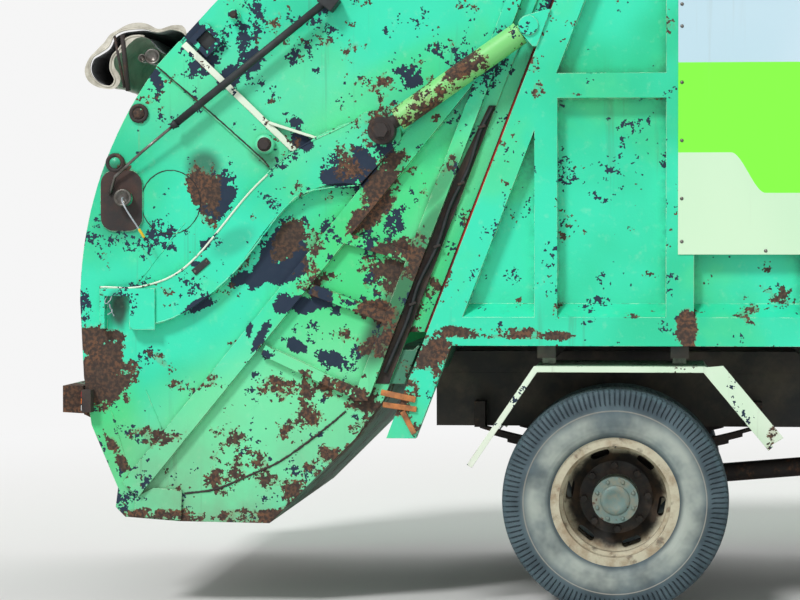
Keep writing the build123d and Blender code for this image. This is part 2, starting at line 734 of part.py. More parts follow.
def leaf_pack(half_length, y_range, z_axle, z_end, leaves):
    """A stack of bent leaves, longest on top, for a spring that sags in its middle at X = 0."""
    rise = z_end - z_axle
    radius = (half_length ** 2 + rise ** 2) / (2 * rise)
    pieces = []
    for index in range(leaves):
        reach = half_length * (1 - index * LEAF_SHORTENING / leaves)
        ring = Circle(radius + LEAF_THICK * (index + 1)) - Circle(radius + LEAF_THICK * index)
        window = Pos(0, -radius) * Rectangle(2 * reach, radius)
        pieces.append(side_solid(Pos(0, z_axle + radius) * (ring & window), y_range))
    return fuse(pieces)


def rear_springs():
    """Leaf springs over the rear axle, with their hangers on the rails."""
    y_range = (REAR_SPRING_Y, REAR_SPRING_Y + SPRING_WIDTH)
    low = AXLE_Z + REAR_SPRING_RISE
    spring = leaf_pack(REAR_SPRING_HALF, y_range, low, low + REAR_SPRING_SAG, REAR_LEAVES)
    for x in (-REAR_SPRING_HALF, REAR_SPRING_HALF):
        spring = spring + block(around(x, HANGER_HALF), (RAIL_OUTER_Y, y_range[1] + RUN_GAP),
                                (RAIL_BOTTOM_Z, RAIL_BOTTOM_Z + REAR_HANGER))
    seat = block(around(0, REAR_SEAT_HALF), y_range, (AXLE_Z + HOUSING_R, AXLE_Z + REAR_SEAT_TOP))
    return both_sides(spring + seat)


def front_springs():
    """Leaf springs over the front axle, with their hangers under the rails."""
    y_range = (FRONT_SPRING_Y, RAIL_OUTER_Y)
    low = AXLE_Z + FRONT_SPRING_RISE
    spring = leaf_pack(FRONT_SPRING_HALF, y_range, low, low + FRONT_SPRING_SAG, FRONT_LEAVES)
    for x in (-FRONT_SPRING_HALF, FRONT_SPRING_HALF):
        hanger_z = (RAIL_BOTTOM_Z - FRONT_HANGER, RAIL_BOTTOM_Z)
        spring = spring + block(around(x, HANGER_HALF), y_range, hanger_z)
    return both_sides(Pos(WHEELBASE, 0, 0) * spring)


def rear_axle():
    """Banjo housing with its spindles and the propeller shaft."""
    tube = tube_y(HOUSING_R, 2 * (REAR_INNER_Y - 100))
    spindle = tube_y(SPINDLE_R, 2 * (REAR_INNER_Y + REAR_SPINDLE))
    banjo = Sphere(BANJO_R) & Box(2 * BANJO_R, 2 * BANJO_HALF, 2 * BANJO_R)
    start, end = NOSE_X
    nose = Pos((start + end) / 2, 0, PINION_RISE) * Rot(0, 90, 0) * Cone(*NOSE_R, end - start)
    rise = GEARBOX_Z - AXLE_Z
    shaft = rod((end - YOKE_LENGTH, 0, PINION_RISE), (GEARBOX_REAR_X, 0, rise), SHAFT_R)
    yoke = Pos(GEARBOX_REAR_X, 0, rise) * tube_x(YOKE_R, YOKE_LENGTH)
    half_x, half_y = SEAT_PAD_HALF
    middle = REAR_SPRING_Y + SPRING_WIDTH / 2
    pads = [block(around(0, half_x), around(sign * middle, half_y), (0, HOUSING_R)) for sign in (-1, 1)]
    return Pos(0, 0, AXLE_Z) * fuse([tube, spindle, banjo, nose, shaft, yoke, *pads])


def front_axle():
    """Forged beam, dropped between the springs, with a king pin at each end."""
    pieces = [block((-BEAM_HALF, BEAM_HALF), (-KING_PIN_Y, KING_PIN_Y), (-BEAM_BOTTOM_DROP, -BEAM_TOP_DROP))]
    seat_top = FRONT_SPRING_RISE - FRONT_LEAVES * LEAF_THICK
    half_x, half_y = BEAM_PAD_HALF
    middle = FRONT_SPRING_Y + SPRING_WIDTH / 2
    for sign in (-1, 1):
        pieces.append(block(around(0, half_x), around(sign * middle, half_y), (-BEAM_TOP_DROP, seat_top)))
        end = Pos(0, sign * KING_PIN_Y, -KING_PIN_DROP)
        pieces += [end * Cylinder(KING_EYE_R, KING_EYE_HEIGHT), end * Cylinder(KING_PIN_R, KING_PIN_LENGTH)]
    return Pos(WHEELBASE, 0, AXLE_Z) * fuse(pieces)


def knuckle():
    """Left steering knuckle: a fork round the beam's end, the spindle and the steering arm."""
    fork = block(around(0, FORK_HALF), FORK_Y, FORK_Z)
    gap = block(around(0, FORK_HALF + 1), (FORK_Y[0] - 1, FORK_Y[1] - FORK_BACK), FORK_GAP_Z)
    body = fork - gap - Pos(0, 0, -KING_PIN_DROP) * Cylinder(KING_PIN_R + PIN_GAP, KING_PIN_LENGTH + 2)
    spindle_end = FRONT_WHEEL_Y - KING_PIN_Y + FRONT_SPINDLE
    spindle = pin_y(0, 0, SPINDLE_R, (FORK_Y[1], spindle_end))
    arm = block((-STEER_ARM, -FORK_HALF), around(0, STEER_ARM_HALF), (FORK_Z[0] + RUN_GAP, FORK_GAP_Z[0]))
    return Pos(WHEELBASE, KING_PIN_Y, AXLE_Z) * (body + spindle + arm)


def engine_block():
    """Engine and gearbox as plain masses between the rails."""
    engine = block(ENGINE_X, (-ENGINE_Y, ENGINE_Y), ENGINE_Z)
    length = ENGINE_X[0] - GEARBOX_REAR_X - YOKE_LENGTH / 2
    gearbox = Pos(ENGINE_X[0] - length / 2, 0, GEARBOX_Z) * Rot(0, 90, 0) * Cone(*GEARBOX_R, length)
    return engine + gearbox


def side_tanks():
    """Fuel tank on the right, and battery box and air tank on the left."""
    fuel_y = (-RAIL_OUTER_Y - FUEL_WIDTH, -RAIL_OUTER_Y)
    fuel = block((TANK_REAR_X, TANK_REAR_X + FUEL_LENGTH), fuel_y, FUEL_Z)
    fuel = fillet(fuel.edges().filter_by(Axis.X), FUEL_CORNER_R)
    battery_y = (RAIL_OUTER_Y, RAIL_OUTER_Y + BATTERY_WIDTH)
    battery = block((TANK_REAR_X, TANK_REAR_X + BATTERY_LENGTH), battery_y, BATTERY_Z)
    battery = fillet(battery.edges().filter_by(Axis.Z), BATTERY_CORNER_R)
    length, reach, height = AIR_HANGER
    air = Pos(AIR_TANK_X, AIR_TANK_Y, AIR_TANK_Z) * tube_x(AIR_TANK_R, AIR_TANK_LENGTH)
    hanger = block(around(AIR_TANK_X, length / 2), (RAIL_OUTER_Y, RAIL_OUTER_Y + reach),
                   around(AIR_TANK_Z, height / 2))
    return together(fuel, battery, air + hanger)


def side_guards():
    """Two rails below each side of the body, on brackets from the longerons."""
    rear, front = SIDE_GUARD_X
    rail_in = SIDE_GUARD_Y - SIDE_GUARD_THICK
    post_in = rail_in - SIDE_GUARD_POST
    low = SIDE_GUARD_Z[0]
    pieces = []
    for z in SIDE_GUARD_Z:
        pieces.append(block(SIDE_GUARD_X, (rail_in, SIDE_GUARD_Y), (z, z + SIDE_GUARD_HEIGHT)))
    for x in (rear + SIDE_GUARD_INSET[0], front - SIDE_GUARD_INSET[1]):
        x_range = around(x, SIDE_GUARD_POST / 2)
        pieces.append(block(x_range, (post_in, rail_in), (low, SUBFRAME_TOP_Z)))
        arm_z = (SUBFRAME_TOP_Z - SIDE_GUARD_POST, SUBFRAME_TOP_Z)
        pieces.append(block(x_range, (RAIL_OUTER_Y, post_in), arm_z))
    return both_sides(fuse(pieces))


def exhaust():
    """Silencer and pipe on the left rail's outside."""
    can = tube_x(SILENCER_R, SILENCER_LENGTH)
    pipe = tube_x(EXHAUST_R, EXHAUST_LENGTH)
    straps = []
    for x in (-STRAP_X, STRAP_X):
        straps.append(block(around(x, STRAP_HALF), (RAIL_OUTER_Y - SILENCER_Y, 0), around(0, STRAP_HALF)))
    return Pos(SILENCER_X, SILENCER_Y, SILENCER_Z) * fuse([can, pipe, *straps])


def rear_mudguards():
    """Bent plates with a turned-down outer edge and a wider front apron, hung from two bearers."""
    plate = side_solid(trace(Polyline(*GUARD_LINE), GUARD_PLATE), (GUARD_INNER_Y, GUARD_OUTER_Y))
    lower = [(x, z - (GUARD_STRIP - GUARD_PLATE) / 2) for x, z in GUARD_LINE]
    edge = side_solid(trace(Polyline(*lower), GUARD_STRIP), (GUARD_OUTER_Y, GUARD_OUTER_Y + GUARD_LIP))
    apron = side_solid(outline(*GUARD_APRON), (GUARD_OUTER_Y, GUARD_OUTER_Y + GUARD_LIP))
    pieces = [plate, edge, apron]
    for x in (REAR_POST_X, POST_FIRST_X):
        pieces.append(block(around(x, GUARD_HANGER_HALF), GUARD_HANGER_Y, (GUARD_LINE[1][1], SUBFRAME_TOP_Z)))
    return both_sides(fuse(pieces))


def round_front_wheel(radius, angle):
    """A point on a circle about the front axle, in X and Z."""
    return (WHEELBASE + radius * cos(radians(angle)), AXLE_Z + radius * sin(radians(angle)))


def front_mudguards():
    """Curved flaps behind the front wheels, each on a tube from the rail."""
    start, end = FLAP_DEGREES
    middle = (start + end) / 2
    near = [round_front_wheel(FLAP_R, angle) for angle in (start, middle, end)]
    far = [round_front_wheel(FLAP_R + GUARD_PLATE, angle) for angle in (start, middle, end)]
    arcs = [ThreePointArc(*near), ThreePointArc(*far)]
    ends = [Line(near[0], far[0]), Line(near[2], far[2])]
    flap = side_solid(make_face([edge for line in arcs + ends for edge in line.edges()]), FLAP_Y)
    tube_place = round_front_wheel(FLAP_R + GUARD_PLATE + FLAP_TUBE_R - 1, FLAP_TUBE_DEGREES)
    tube = pin_y(*tube_place, FLAP_TUBE_R, (RAIL_OUTER_Y, FLAP_Y[1] - 3 * FLAP_TUBE_R))
    head = (tube_place[0], RAIL_BOTTOM_Z + 3 * FLAP_TUBE_R)
    strap = slanted_bar(tube_place, head, 2 * FLAP_TUBE_R) + Pos(*tube_place) * Circle(2 * FLAP_TUBE_R)
    return both_sides(fuse([flap, tube, side_solid(strap, (RAIL_OUTER_Y, RAIL_OUTER_Y + FLAP_FOOT))]))


# Container
def seam_space():
    """Everything in front of the leaning joint."""
    sketch = outline((seam_x(0), 0), (BEYOND, 0), (BEYOND, BEYOND), (seam_x(BEYOND), BEYOND))
    return side_solid(sketch, (-BEYOND, BEYOND))


def container_side():
    """Left wall: skin, posts, rails, sloped ledge and the leaning rear post."""
    bottom, ledge_z = BOTTOM_RAIL
    front = FRONT_WALL_X + PLATE
    space = seam_space()
    length = (BODY_BACK_X, front)
    frame_y = (PANEL_Y, BODY_Y)
    pieces = [block(length, (SKIN_Y, PANEL_Y), (bottom, BODY_TOP_Z)) & space]
    for z_range in (BOTTOM_RAIL, MID_RAIL, (BODY_TOP_Z - TOP_RAIL_HEIGHT, BODY_TOP_Z)):
        pieces.append(block(length, frame_y, z_range) & space)
    pieces.append(block((front - REAR_POST_WIDTH, front), frame_y, (bottom, BODY_TOP_Z)))
    pieces.append(side_solid(seam_bar(BEAM_BOTTOM_Z, BODY_TOP_Z, -BEAM_WIDTH, 0), frame_y))
    for index, x in enumerate(bearer_stations()):
        half = (REAR_POST_WIDTH if index == 0 else POST_WIDTH) / 2
        top = MID_RAIL[1] if index == 0 else BODY_TOP_Z
        pieces.append(block(around(x, half), frame_y, (bottom, top)) & space)
    ledge = outline((PANEL_Y, ledge_z), (BODY_Y, ledge_z), (PANEL_Y, ledge_z + LEDGE_RISE))
    pieces.append(extrude(cross_plane(BODY_BACK_X) * ledge, amount=front - BODY_BACK_X) & space)
    return fuse([*pieces, lift_bracket()])


def lift_bracket():
    """Clevis on the leaning post that holds the upper pin of the left lift cylinder."""
    x, z = CYL_TOP
    inner, outer = LUG_Y
    base_sketch = seam_bar(z - LUG_BASE_REACH[0], z + LUG_BASE_REACH[1], 0, LUG_BASE)
    ear = make_hull(((Pos(x, z) * Circle(LUG_R)) + base_sketch).edges())
    pieces = [side_solid(base_sketch, (inner - LUG_THICK, outer + LUG_THICK))]
    for low in (inner - LUG_THICK, outer):
        pieces.append(side_solid(ear, (low, low + LUG_THICK)))
    pieces.append(pin_y(x, z, TOP_PIN_R, (inner, outer)))
    head_r, head_thick = TOP_PIN_HEAD
    pieces.append(pin_y(x, z, head_r, (outer + LUG_THICK, outer + LUG_THICK + head_thick)))
    return fuse(pieces)


def container_floor():
    """Floor plate and the sill under its rear edge."""
    plate = block((BODY_BACK_X, FRONT_WALL_X), (-SKIN_Y, SKIN_Y), (FLOOR_Z, FLOOR_Z + PLATE)) & seam_space()
    sill = side_solid(seam_bar(FLOOR_Z - END_SILL_DROP, FLOOR_Z, -END_BEAM, 0), (-PANEL_Y, PANEL_Y))
    half = RAIL_OUTER_Y + SEAT_GAP
    clear = block((RAIL_REAR_X - SEAT_GAP, 0), (-half, half), (RAIL_BOTTOM_Z, SUBFRAME_TOP_Z))
    return plate + (sill - clear)


def roof_strip(x_range, bottom_drop, top_rise):
    """A stretch of crowned roof between two heights over the skin line."""
    low, high = BODY_TOP_Z - bottom_drop, BODY_TOP_Z + top_rise
    lower = ThreePointArc((-SKIN_Y, low), (0, low + ROOF_CROWN), (SKIN_Y, low))
    upper = ThreePointArc((SKIN_Y, high), (0, high + ROOF_CROWN), (-SKIN_Y, high))
    ends = [Line((SKIN_Y, low), (SKIN_Y, high)), Line((-SKIN_Y, high), (-SKIN_Y, low))]
    face = make_face([edge for line in (lower, ends[0], upper, ends[1]) for edge in line.edges()])
    return extrude(cross_plane(x_range[0]) * face, amount=x_range[1] - x_range[0])


def hinge_ear(foot_reach):
    """Side view of a hinge ear that stands on the roof line between two distances from the hinge."""
    start, end = [HINGE_X + reach for reach in foot_reach]
    foot = outline((start, BODY_TOP_Z), (end, BODY_TOP_Z), (end, BODY_TOP_Z + EAR_FOOT_HEIGHT))
    return make_hull(((Pos(HINGE_X, HINGE_Z) * Circle(HINGE_EAR_R)) + foot).edges())


def container_roof():
    """Crowned skin with outside ribs, the rear top beam and the tailgate's hinge ears."""
    pieces = [roof_strip((BODY_BACK_X, FRONT_WALL_X + PLATE), PLATE, 0) & seam_space()]
    for x in bearer_stations()[1:]:
        pieces.append(roof_strip(around(x, BEARER_WIDTH / 2), 0, ROOF_RIB))
    pieces.append(side_solid(seam_bar(BODY_TOP_Z - END_BEAM, BODY_TOP_Z, -END_BEAM, 0), (-SKIN_Y, SKIN_Y)))
    ear = hinge_ear(BODY_EAR_FOOT)
    for sign in (-1, 1):
        for low in (EAR_Y[0], EAR_Y[1] - EAR_THICK):
            pieces.append(side_solid(ear, on_side(sign, low, low + EAR_THICK)))
        pieces.append(pin_y(HINGE_X, HINGE_Z, HINGE_PIN_R, on_side(sign, *EAR_Y)))
    return fuse(pieces)


def container_front():
    """Front wall with upright ribs."""
    z_range = (FLOOR_Z, BODY_TOP_Z - PLATE)
    face_x = FRONT_WALL_X + PLATE
    pieces = [block((FRONT_WALL_X, face_x), (-SKIN_Y, SKIN_Y), z_range)]
    for step in (-1.5, -0.5, 0.5, 1.5):
        y_range = around(step * FRONT_RIB_PITCH, FRONT_RIB_HALF)
        pieces.append(block((face_x, face_x + FRONT_RIB), y_range, z_range))
    return fuse(pieces)


def sign_panels():
    """A blank advertising board on each side of the container."""
    return both_sides(block(SIGN_X, (BODY_Y, BODY_Y + SIGN_THICK), SIGN_Z))


# Tailgate
def gate_outline():
    """Side view of the tailgate, with the rear edge as one arc."""
    front = [(seam_x(z, GATE_FRONT_GAP), z) for z in (GATE_FOOT_Z, GATE_ROOF_Z)]
    rear = ThreePointArc(REAR_TOP, REAR_BULGE, REAR_LOW)
    lines = Polyline(REAR_LOW, *GATE_UNDERSIDE, *front, (GATE_ROOF_REAR_X, GATE_ROOF_Z), REAR_TOP)
    return make_face([*rear.edges(), *lines.edges()])


def from_foot(foot, along, across):
    """A point measured from a foot along the guide's direction and up across it."""
    angle = radians(GUIDE_DEG)
    return (foot[0] + along * cos(angle) - across * sin(angle),
            foot[1] + along * sin(angle) + across * cos(angle))


PIVOT = from_foot(PIVOT_LOW, CARRIAGE_STROKE, 0)


def track_bar(along_range, across_range):
    """A sketch of a bar in line with the track, measured from the blade pivot at the top of the travel."""
    (a0, a1), (c0, c1) = along_range, across_range
    corners = ((a0, c0), (a1, c0), (a1, c1), (a0, c1))
    return outline(*[from_foot(PIVOT, along, across) for along, across in corners])


def bent_arm():
    """Side view of the bent beam that runs from the cylinder's pin to the pocket at the rear corner."""
    low_corner = (ARM_UPPER[0][0], ARM_LOWER[-1][1])
    upper, lower = Spline(*ARM_UPPER), Spline(*ARM_LOWER)
    end = ThreePointArc(ARM_UPPER[-1], *ARM_END)
    near_end, rear_end = Line(ARM_END[-1], ARM_LOWER[0]), Polyline(ARM_LOWER[-1], low_corner, ARM_UPPER[0])
    arm = make_face([edge for line in (upper, end, near_end, lower, rear_end) for edge in line.edges()])
    (x0, x1), (z0, z1) = ARM_POCKET
    return arm - outline((x0, z0), (x1, z0), (x1, z1), (x0, z1))


def gate_trims():
    """Side views of the guide, the frame and the ribs that stand equally proud of the wall."""
    middle = GUIDE_WIDTH / 2
    ends = [from_foot(GUIDE_FOOT, along, middle) for along in (0, GUIDE_LENGTH)]
    guide = slanted_bar(*ends, GUIDE_WIDTH)
    frame = seam_bar(GATE_FOOT_Z, GATE_ROOF_Z, *FRAME_GAPS)
    return [guide, frame, *[slanted_bar(start, end, RIB_WIDTH) for start, end in GATE_RIBS]]


def gate_fittings():
    """The bosses, the lamp's base and the square socket on the left wall."""
    pieces = [pin_y(x, z, radius, (GATE_Y - 1, GATE_Y + height)) for x, z, radius, height in GATE_BOSSES]
    x, z, width, height = LAMP_BASE
    base = Pos(x, z) * RectangleRounded(width, height, LAMP_BASE_R)
    pieces.append(side_solid(base, (GATE_Y - 1, GATE_Y + LAMP_BASE_THICK)))
    x, z, outside, hole = SOCKET
    tube = Pos(x, z) * Rot(0, 0, 45) * (Rectangle(outside, outside) - Rectangle(hole, hole))
    pieces.append(side_solid(tube, (GATE_Y - 1, GATE_Y + SOCKET_OUT)))
    return pieces


def gate_side():
    """Left wall of the tailgate with its guide, ribs, bent beam, band, fittings, flange and track."""
    sheet = gate_outline()
    pieces = [side_solid(sheet, (GATE_INNER_Y, GATE_Y))]
    for trim in gate_trims():
        pieces.append(side_solid(trim & sheet, (GATE_Y, GATE_Y + TRIM_PROUD)))
    pieces.append(side_solid(bent_arm() & sheet, (GATE_Y, GATE_Y + ARM_PROUD)))
    band = slanted_bar(*GATE_BAND, BAND_WIDTH)
    pieces.append(side_solid(band & sheet, (GATE_Y, GATE_Y + BAND_PROUD)))
    inside = (GATE_INNER_Y - GATE_FLANGE, GATE_INNER_Y)
    flange = seam_bar(GATE_FLANGE_FOOT_Z, GATE_ROOF_Z - PLATE, GATE_FLANGE_GAP, GATE_FRONT_GAP + 10)
    pieces.append(side_solid(flange, inside))
    reach = (-CARRIAGE_STROKE - TRACK_OVERRUN[0], CARRIAGE_LENGTH + TRACK_OVERRUN[1])
    for across in (SHOE_WIDTH / 2 + PIN_GAP, -SHOE_WIDTH / 2 - PIN_GAP - GUIDE_STRIP):
        strip = track_bar(reach, (across, across + GUIDE_STRIP))
        pieces.append(side_solid(strip, (GATE_INNER_Y - TRACK_DEPTH, GATE_INNER_Y)))
    return fuse(pieces + gate_fittings())


def gate_ring():
    """The band of sheet that follows the tailgate's outline inside the side walls."""
    sheet = gate_outline()
    return sheet - offset(sheet, amount=-PLATE, kind=Kind.INTERSECTION)


def gate_skin():
    """Roof and rear cover above the mouth, with the front top flange and hinge ears."""
    over, under = GATE_ROOF_Z + 170, GATE_ROOF_Z - 130
    inside = GATE_ROOF_Z - PLATE
    keep = outline((seam_x(over) + 110, over), (-REAR_OVERHANG, over), (-REAR_OVERHANG, MOUTH_TOP_Z),
                   (REAR_TOP[0] - 9, MOUTH_TOP_Z), (-1300, under),
                   (seam_x(under, GATE_FRONT_GAP + 40), under),
                   (seam_x(inside, GATE_FRONT_GAP + 40), inside), (seam_x(inside), inside))
    pieces = [side_solid(gate_ring() & keep, (-GATE_INNER_Y, GATE_INNER_Y))]
    flange = seam_bar(GATE_ROOF_Z - 90, GATE_ROOF_Z, GATE_FLANGE_GAP, GATE_FRONT_GAP + 10)
    flange_y = GATE_INNER_Y - GATE_FLANGE - SEAT_GAP
    pieces.append(side_solid(flange, (-flange_y, flange_y)))
    ear = hinge_ear(GATE_EAR_FOOT)
    margin = EAR_THICK + RUN_GAP
    for sign in (-1, 1):
        pieces.append(side_solid(ear, on_side(sign, EAR_Y[0] + margin, EAR_Y[1] - margin)))
    return fuse(pieces) - pin_y(HINGE_X, HINGE_Z, HINGE_PIN_R + PIN_GAP, (-EAR_Y[1], EAR_Y[1]))


def tub_line():
    """Middle line of the hopper floor: rear wall, round bottom and front ramp."""
    cx, cz = TUB_CENTRE
    ramp = radians(RAMP_DEG)
    rear_low = (TUB_REAR_X, cz - (TUB_R ** 2 - (TUB_REAR_X - cx) ** 2) ** 0.5)
    ramp_foot = (cx + TUB_R * sin(ramp), cz - TUB_R * cos(ramp))
    ramp_top = (ramp_foot[0] + RAMP_RUN * cos(ramp), ramp_foot[1] + RAMP_RUN * sin(ramp))
    bottom = ThreePointArc(rear_low, (cx, cz - TUB_R), ramp_foot)
    parts = [Line(TUB_REAR_TOP, rear_low), bottom, Line(ramp_foot, ramp_top)]
    return Wire([edge for part in parts for edge in part.edges()])


def hopper_tub():
    """Curved hopper floor, its closed underside, the front cross beam and the loading sill."""
    keep = outline((-BEYOND, UNDERSIDE_REAR_Z), (-BEYOND, 0), (0, 0),
                   (0, UNDERSIDE_FRONT[1]), UNDERSIDE_FRONT,
                   (UNDERSIDE_TURN_X, UNDERSIDE_REAR_Z))
    beam = seam_bar(*TUB_BEAM_Z, GATE_FLANGE_GAP, GATE_FLANGE_GAP + TUB_BEAM_DEPTH)
    foot = seam_bar(GATE_FOOT_Z, GATE_FOOT_Z + TUB_FOOT_HIGH, GATE_FRONT_GAP, GATE_FRONT_GAP + TUB_FOOT_DEPTH)
    foot = foot & gate_outline()
    rear_x, front_x = SILL_X
    rear_z, front_z = SILL_BOTTOM_Z
    edge = outline((SILL_EDGE_X[0], SILL_EDGE_Z[0]), (front_x, SILL_EDGE_Z[0]), (front_x, front_z),
                   (SILL_EDGE_X[1], SILL_EDGE_Z[1]))
    lip = outline((rear_x, SILL_TOP_Z), (front_x, SILL_TOP_Z), (front_x, front_z + RUN_GAP), (rear_x, rear_z))
    pieces = [side_solid(lip, (-GATE_Y, GATE_Y))]
    for face in (trace(tub_line(), TUB_PLATE), gate_ring() & keep, beam, foot, edge):
        pieces.append(side_solid(face, (-GATE_INNER_Y, GATE_INNER_Y)))
    return fuse(pieces)


def gate_seal():
    """Rubber seal on the front flange of the tailgate."""
    width = GATE_FLANGE - RUN_GAP
    inner = GATE_INNER_Y - RUN_GAP
    top_z = GATE_ROOF_Z - PLATE
    side = side_solid(seam_bar(GATE_FLANGE_FOOT_Z, top_z, PIN_GAP, GATE_FLANGE_GAP), (inner - width, inner))
    top = side_solid(seam_bar(top_z - 52, top_z, PIN_GAP, GATE_FLANGE_GAP), (-inner, inner))
    return fuse([side, other_side(side), top])


def rear_canvas():
    """Loosely rolled canvas cover along the upper edge of the mouth, bunched against the skin."""
    bundle = outline(*CANVAS_LINE)
    bundle = fillet(bundle.vertices().sort_by(Axis.X)[:4], CANVAS_FOLD_R)
    skin = offset(gate_outline(), amount=SEAT_GAP, kind=Kind.INTERSECTION)
    roll = bundle - skin
    return side_solid(roll.faces().sort_by(Axis.X)[0], (-GATE_Y, GATE_Y))


def bend_radii(points):
    """The largest radius that the two runs at each bend allow."""
    bends = []
    for before, point, after in zip(points, points[1:], points[2:]):
        first = Vector(*point) - Vector(*before)
        second = Vector(*after) - Vector(*point)
        half_turn = radians(first.get_angle(second) / 2)
        bends.append(BEND_SHARE * min(first.length, second.length) / tan(half_turn))
    return bends


def lamp_wire():
    """The loose wire that hangs from the right lamp's boss."""
    radii = bend_radii(WIRE_LINE)
    print("lamp wire, radii of its bends:", [round(radius) for radius in radii])
    line = FilletPolyline(*WIRE_LINE, radius=radii)
    start = Plane(origin=line @ 0, z_dir=line % 0)
    return sweep(start * Circle(WIRE_R), path=line)


def rear_lamps():
    """Blank lamp boxes at the ends of the loading sill."""
    return both_sides(block(LAMP_X, (GATE_Y, GATE_Y + LAMP_OUT), LAMP_Z))


# Packing mechanism
def carriage():
    """Sliding panel with its ribs, shoes, cheeks and the blade's pin."""
    half = CARRIAGE_THICK / 2
    length = CARRIAGE_LENGTH
    panel = side_solid(track_bar((CARRIAGE_START, length), (-half, half)), (-CARRIAGE_Y, CARRIAGE_Y))
    pocket_y = CARRIAGE_Y - CHEEK_THICK - CARRIAGE_SKIN
    pocket = track_bar((CARRIAGE_START + 30, length - 30), (-half + CARRIAGE_SKIN, half + 1))
    pieces = [panel - side_solid(pocket, (-pocket_y, pocket_y))]
    for y in CARRIAGE_RIB_Y:
        rib = track_bar((CARRIAGE_START + 20, length - 20), (-half + CARRIAGE_SKIN - 4, half))
        pieces.append(side_solid(rib, around(y, PLATE)))
    cheek = track_bar((0, CARRIAGE_START + 20), (-half, half)) + Pos(*PIVOT) * Circle(half)
    shoe = track_bar((length - SHOE_LENGTH, length), (-SHOE_WIDTH / 2, SHOE_WIDTH / 2))
    for sign in (-1, 1):
        pieces.append(side_solid(cheek, on_side(sign, CARRIAGE_Y - CHEEK_THICK, CARRIAGE_Y)))
        pieces.append(side_solid(shoe, on_side(sign, CARRIAGE_Y, GATE_INNER_Y - RUN_GAP)))
    pieces.append(pin_y(*PIVOT, BLADE_PIN_R, (1 - CARRIAGE_Y, CARRIAGE_Y - 1)))
    return fuse(pieces)


def packer_blade():
    """Swinging blade: a hinge tube and a curved, tapering plate with a wear edge."""
    inner_y = CARRIAGE_Y - CHEEK_THICK - RUN_GAP
    root, root_low, root_high = BLADE_ROOT
    middle, middle_low, middle_high = BLADE_MIDDLE
    tip_high, tip_low = (BLADE_LENGTH, BLADE_TIP_HALF), (BLADE_LENGTH, -BLADE_TIP_HALF)
    upper = ThreePointArc((root, root_high), (middle, middle_high), tip_high)
    lower = ThreePointArc(tip_low, (middle, middle_low), (root, root_low))
    edges = [upper, Line(tip_high, tip_low), lower, Line((root, root_low), (root, root_high))]
    plate = make_face([edge for line in edges for edge in line.edges()])
    profile = Pos(*PIVOT) * Rot(0, 0, BLADE_DEG) * (Circle(BLADE_TUBE_R) + plate)
    blade = side_solid(profile, (-inner_y, inner_y))
    return blade - pin_y(*PIVOT, BLADE_PIN_R + PIN_GAP, (-inner_y - 1, inner_y + 1))


def ejector():
    """Leaning pusher panel in the container, with its upright back frame."""
    half = SKIN_Y - EJECTOR_SIDE_GAP
    low, high = FLOOR_Z + PLATE + PIN_GAP, EJECTOR_TOP_Z
    foot = EJECTOR_FOOT_X
    lean = SEAM_SLOPE * (high - low)
    top = foot + lean
    face = outline((foot, low), (top, high), (top + EJECTOR_SKIN, high), (foot + EJECTOR_SKIN, low))
    web = outline((foot + 10, low), (foot + lean + 10, high), (foot + lean + EJECTOR_DEPTH, high),
                  (foot + lean + EJECTOR_DEPTH, low))
    pieces = [side_solid(face, (-half, half))]
    for y in (-half, -EJECTOR_WEB_Y, EJECTOR_WEB_Y - EJECTOR_WEB, half - EJECTOR_WEB):
        pieces.append(side_solid(web, (y, y + EJECTOR_WEB)))
    return fuse(pieces)


# Lift cylinders
CYL_LENGTH = hypot(CYL_EYE[0] - CYL_TOP[0], CYL_EYE[1] - CYL_TOP[1])
CYL_DIR = ((CYL_EYE[0] - CYL_TOP[0]) / CYL_LENGTH, (CYL_EYE[1] - CYL_TOP[1]) / CYL_LENGTH)


def on_cylinder(distance):
    """A point on the cylinder's middle line, measured from its upper pin."""
    return (CYL_TOP[0] + CYL_DIR[0] * distance, CYL_Y, CYL_TOP[1] + CYL_DIR[1] * distance)


def lift_barrel():
    """Cylinder barrel with its lug on the upper pin and a gland collar."""
    tail = CYL_LENGTH - BARREL_TAIL
    barrel = rod(on_cylinder(BARREL_HEAD), on_cylinder(tail), BARREL_R)
    collar = rod(on_cylinder(tail - GLAND_LENGTH), on_cylinder(tail), BARREL_R + 1)
    lug = pin_y(*CYL_TOP, BARREL_LUG_R, [CYL_Y + reach for reach in BARREL_LUG_Y])
    neck = rod(on_cylinder(TOP_PIN_R), on_cylinder(BARREL_HEAD + RUN_GAP), BARREL_NECK_R)
    body = fuse([barrel, collar, lug, neck])
    body = body - pin_y(*CYL_TOP, TOP_PIN_R + PIN_GAP, around(CYL_Y, 2 * BARREL_R))
    return body - rod(on_cylinder(ROD_START - ROD_BORE_LEAD), on_cylinder(tail + 1), ROD_R + PIN_GAP)


def lift_rod():
    """Piston rod with its eye, washer and hexagon nut."""
    x, z = CYL_EYE
    shaft = rod(on_cylinder(ROD_START), on_cylinder(CYL_LENGTH - 40), ROD_R)
    face_y = CYL_Y + EYE_OUT
    eye = pin_y(x, z, EYE_R, (GATE_Y + ARM_PROUD + RUN_GAP, face_y))
    washer = pin_y(x, z, BARREL_LUG_R, (face_y, face_y + PLATE))
    nut = side_solid(Pos(x, z) * RegularPolygon(EYE_NUT_R, 6), (face_y + PLATE, CYL_Y + EYE_NUT_OUT))
    return fuse([shaft, eye, washer, nut])


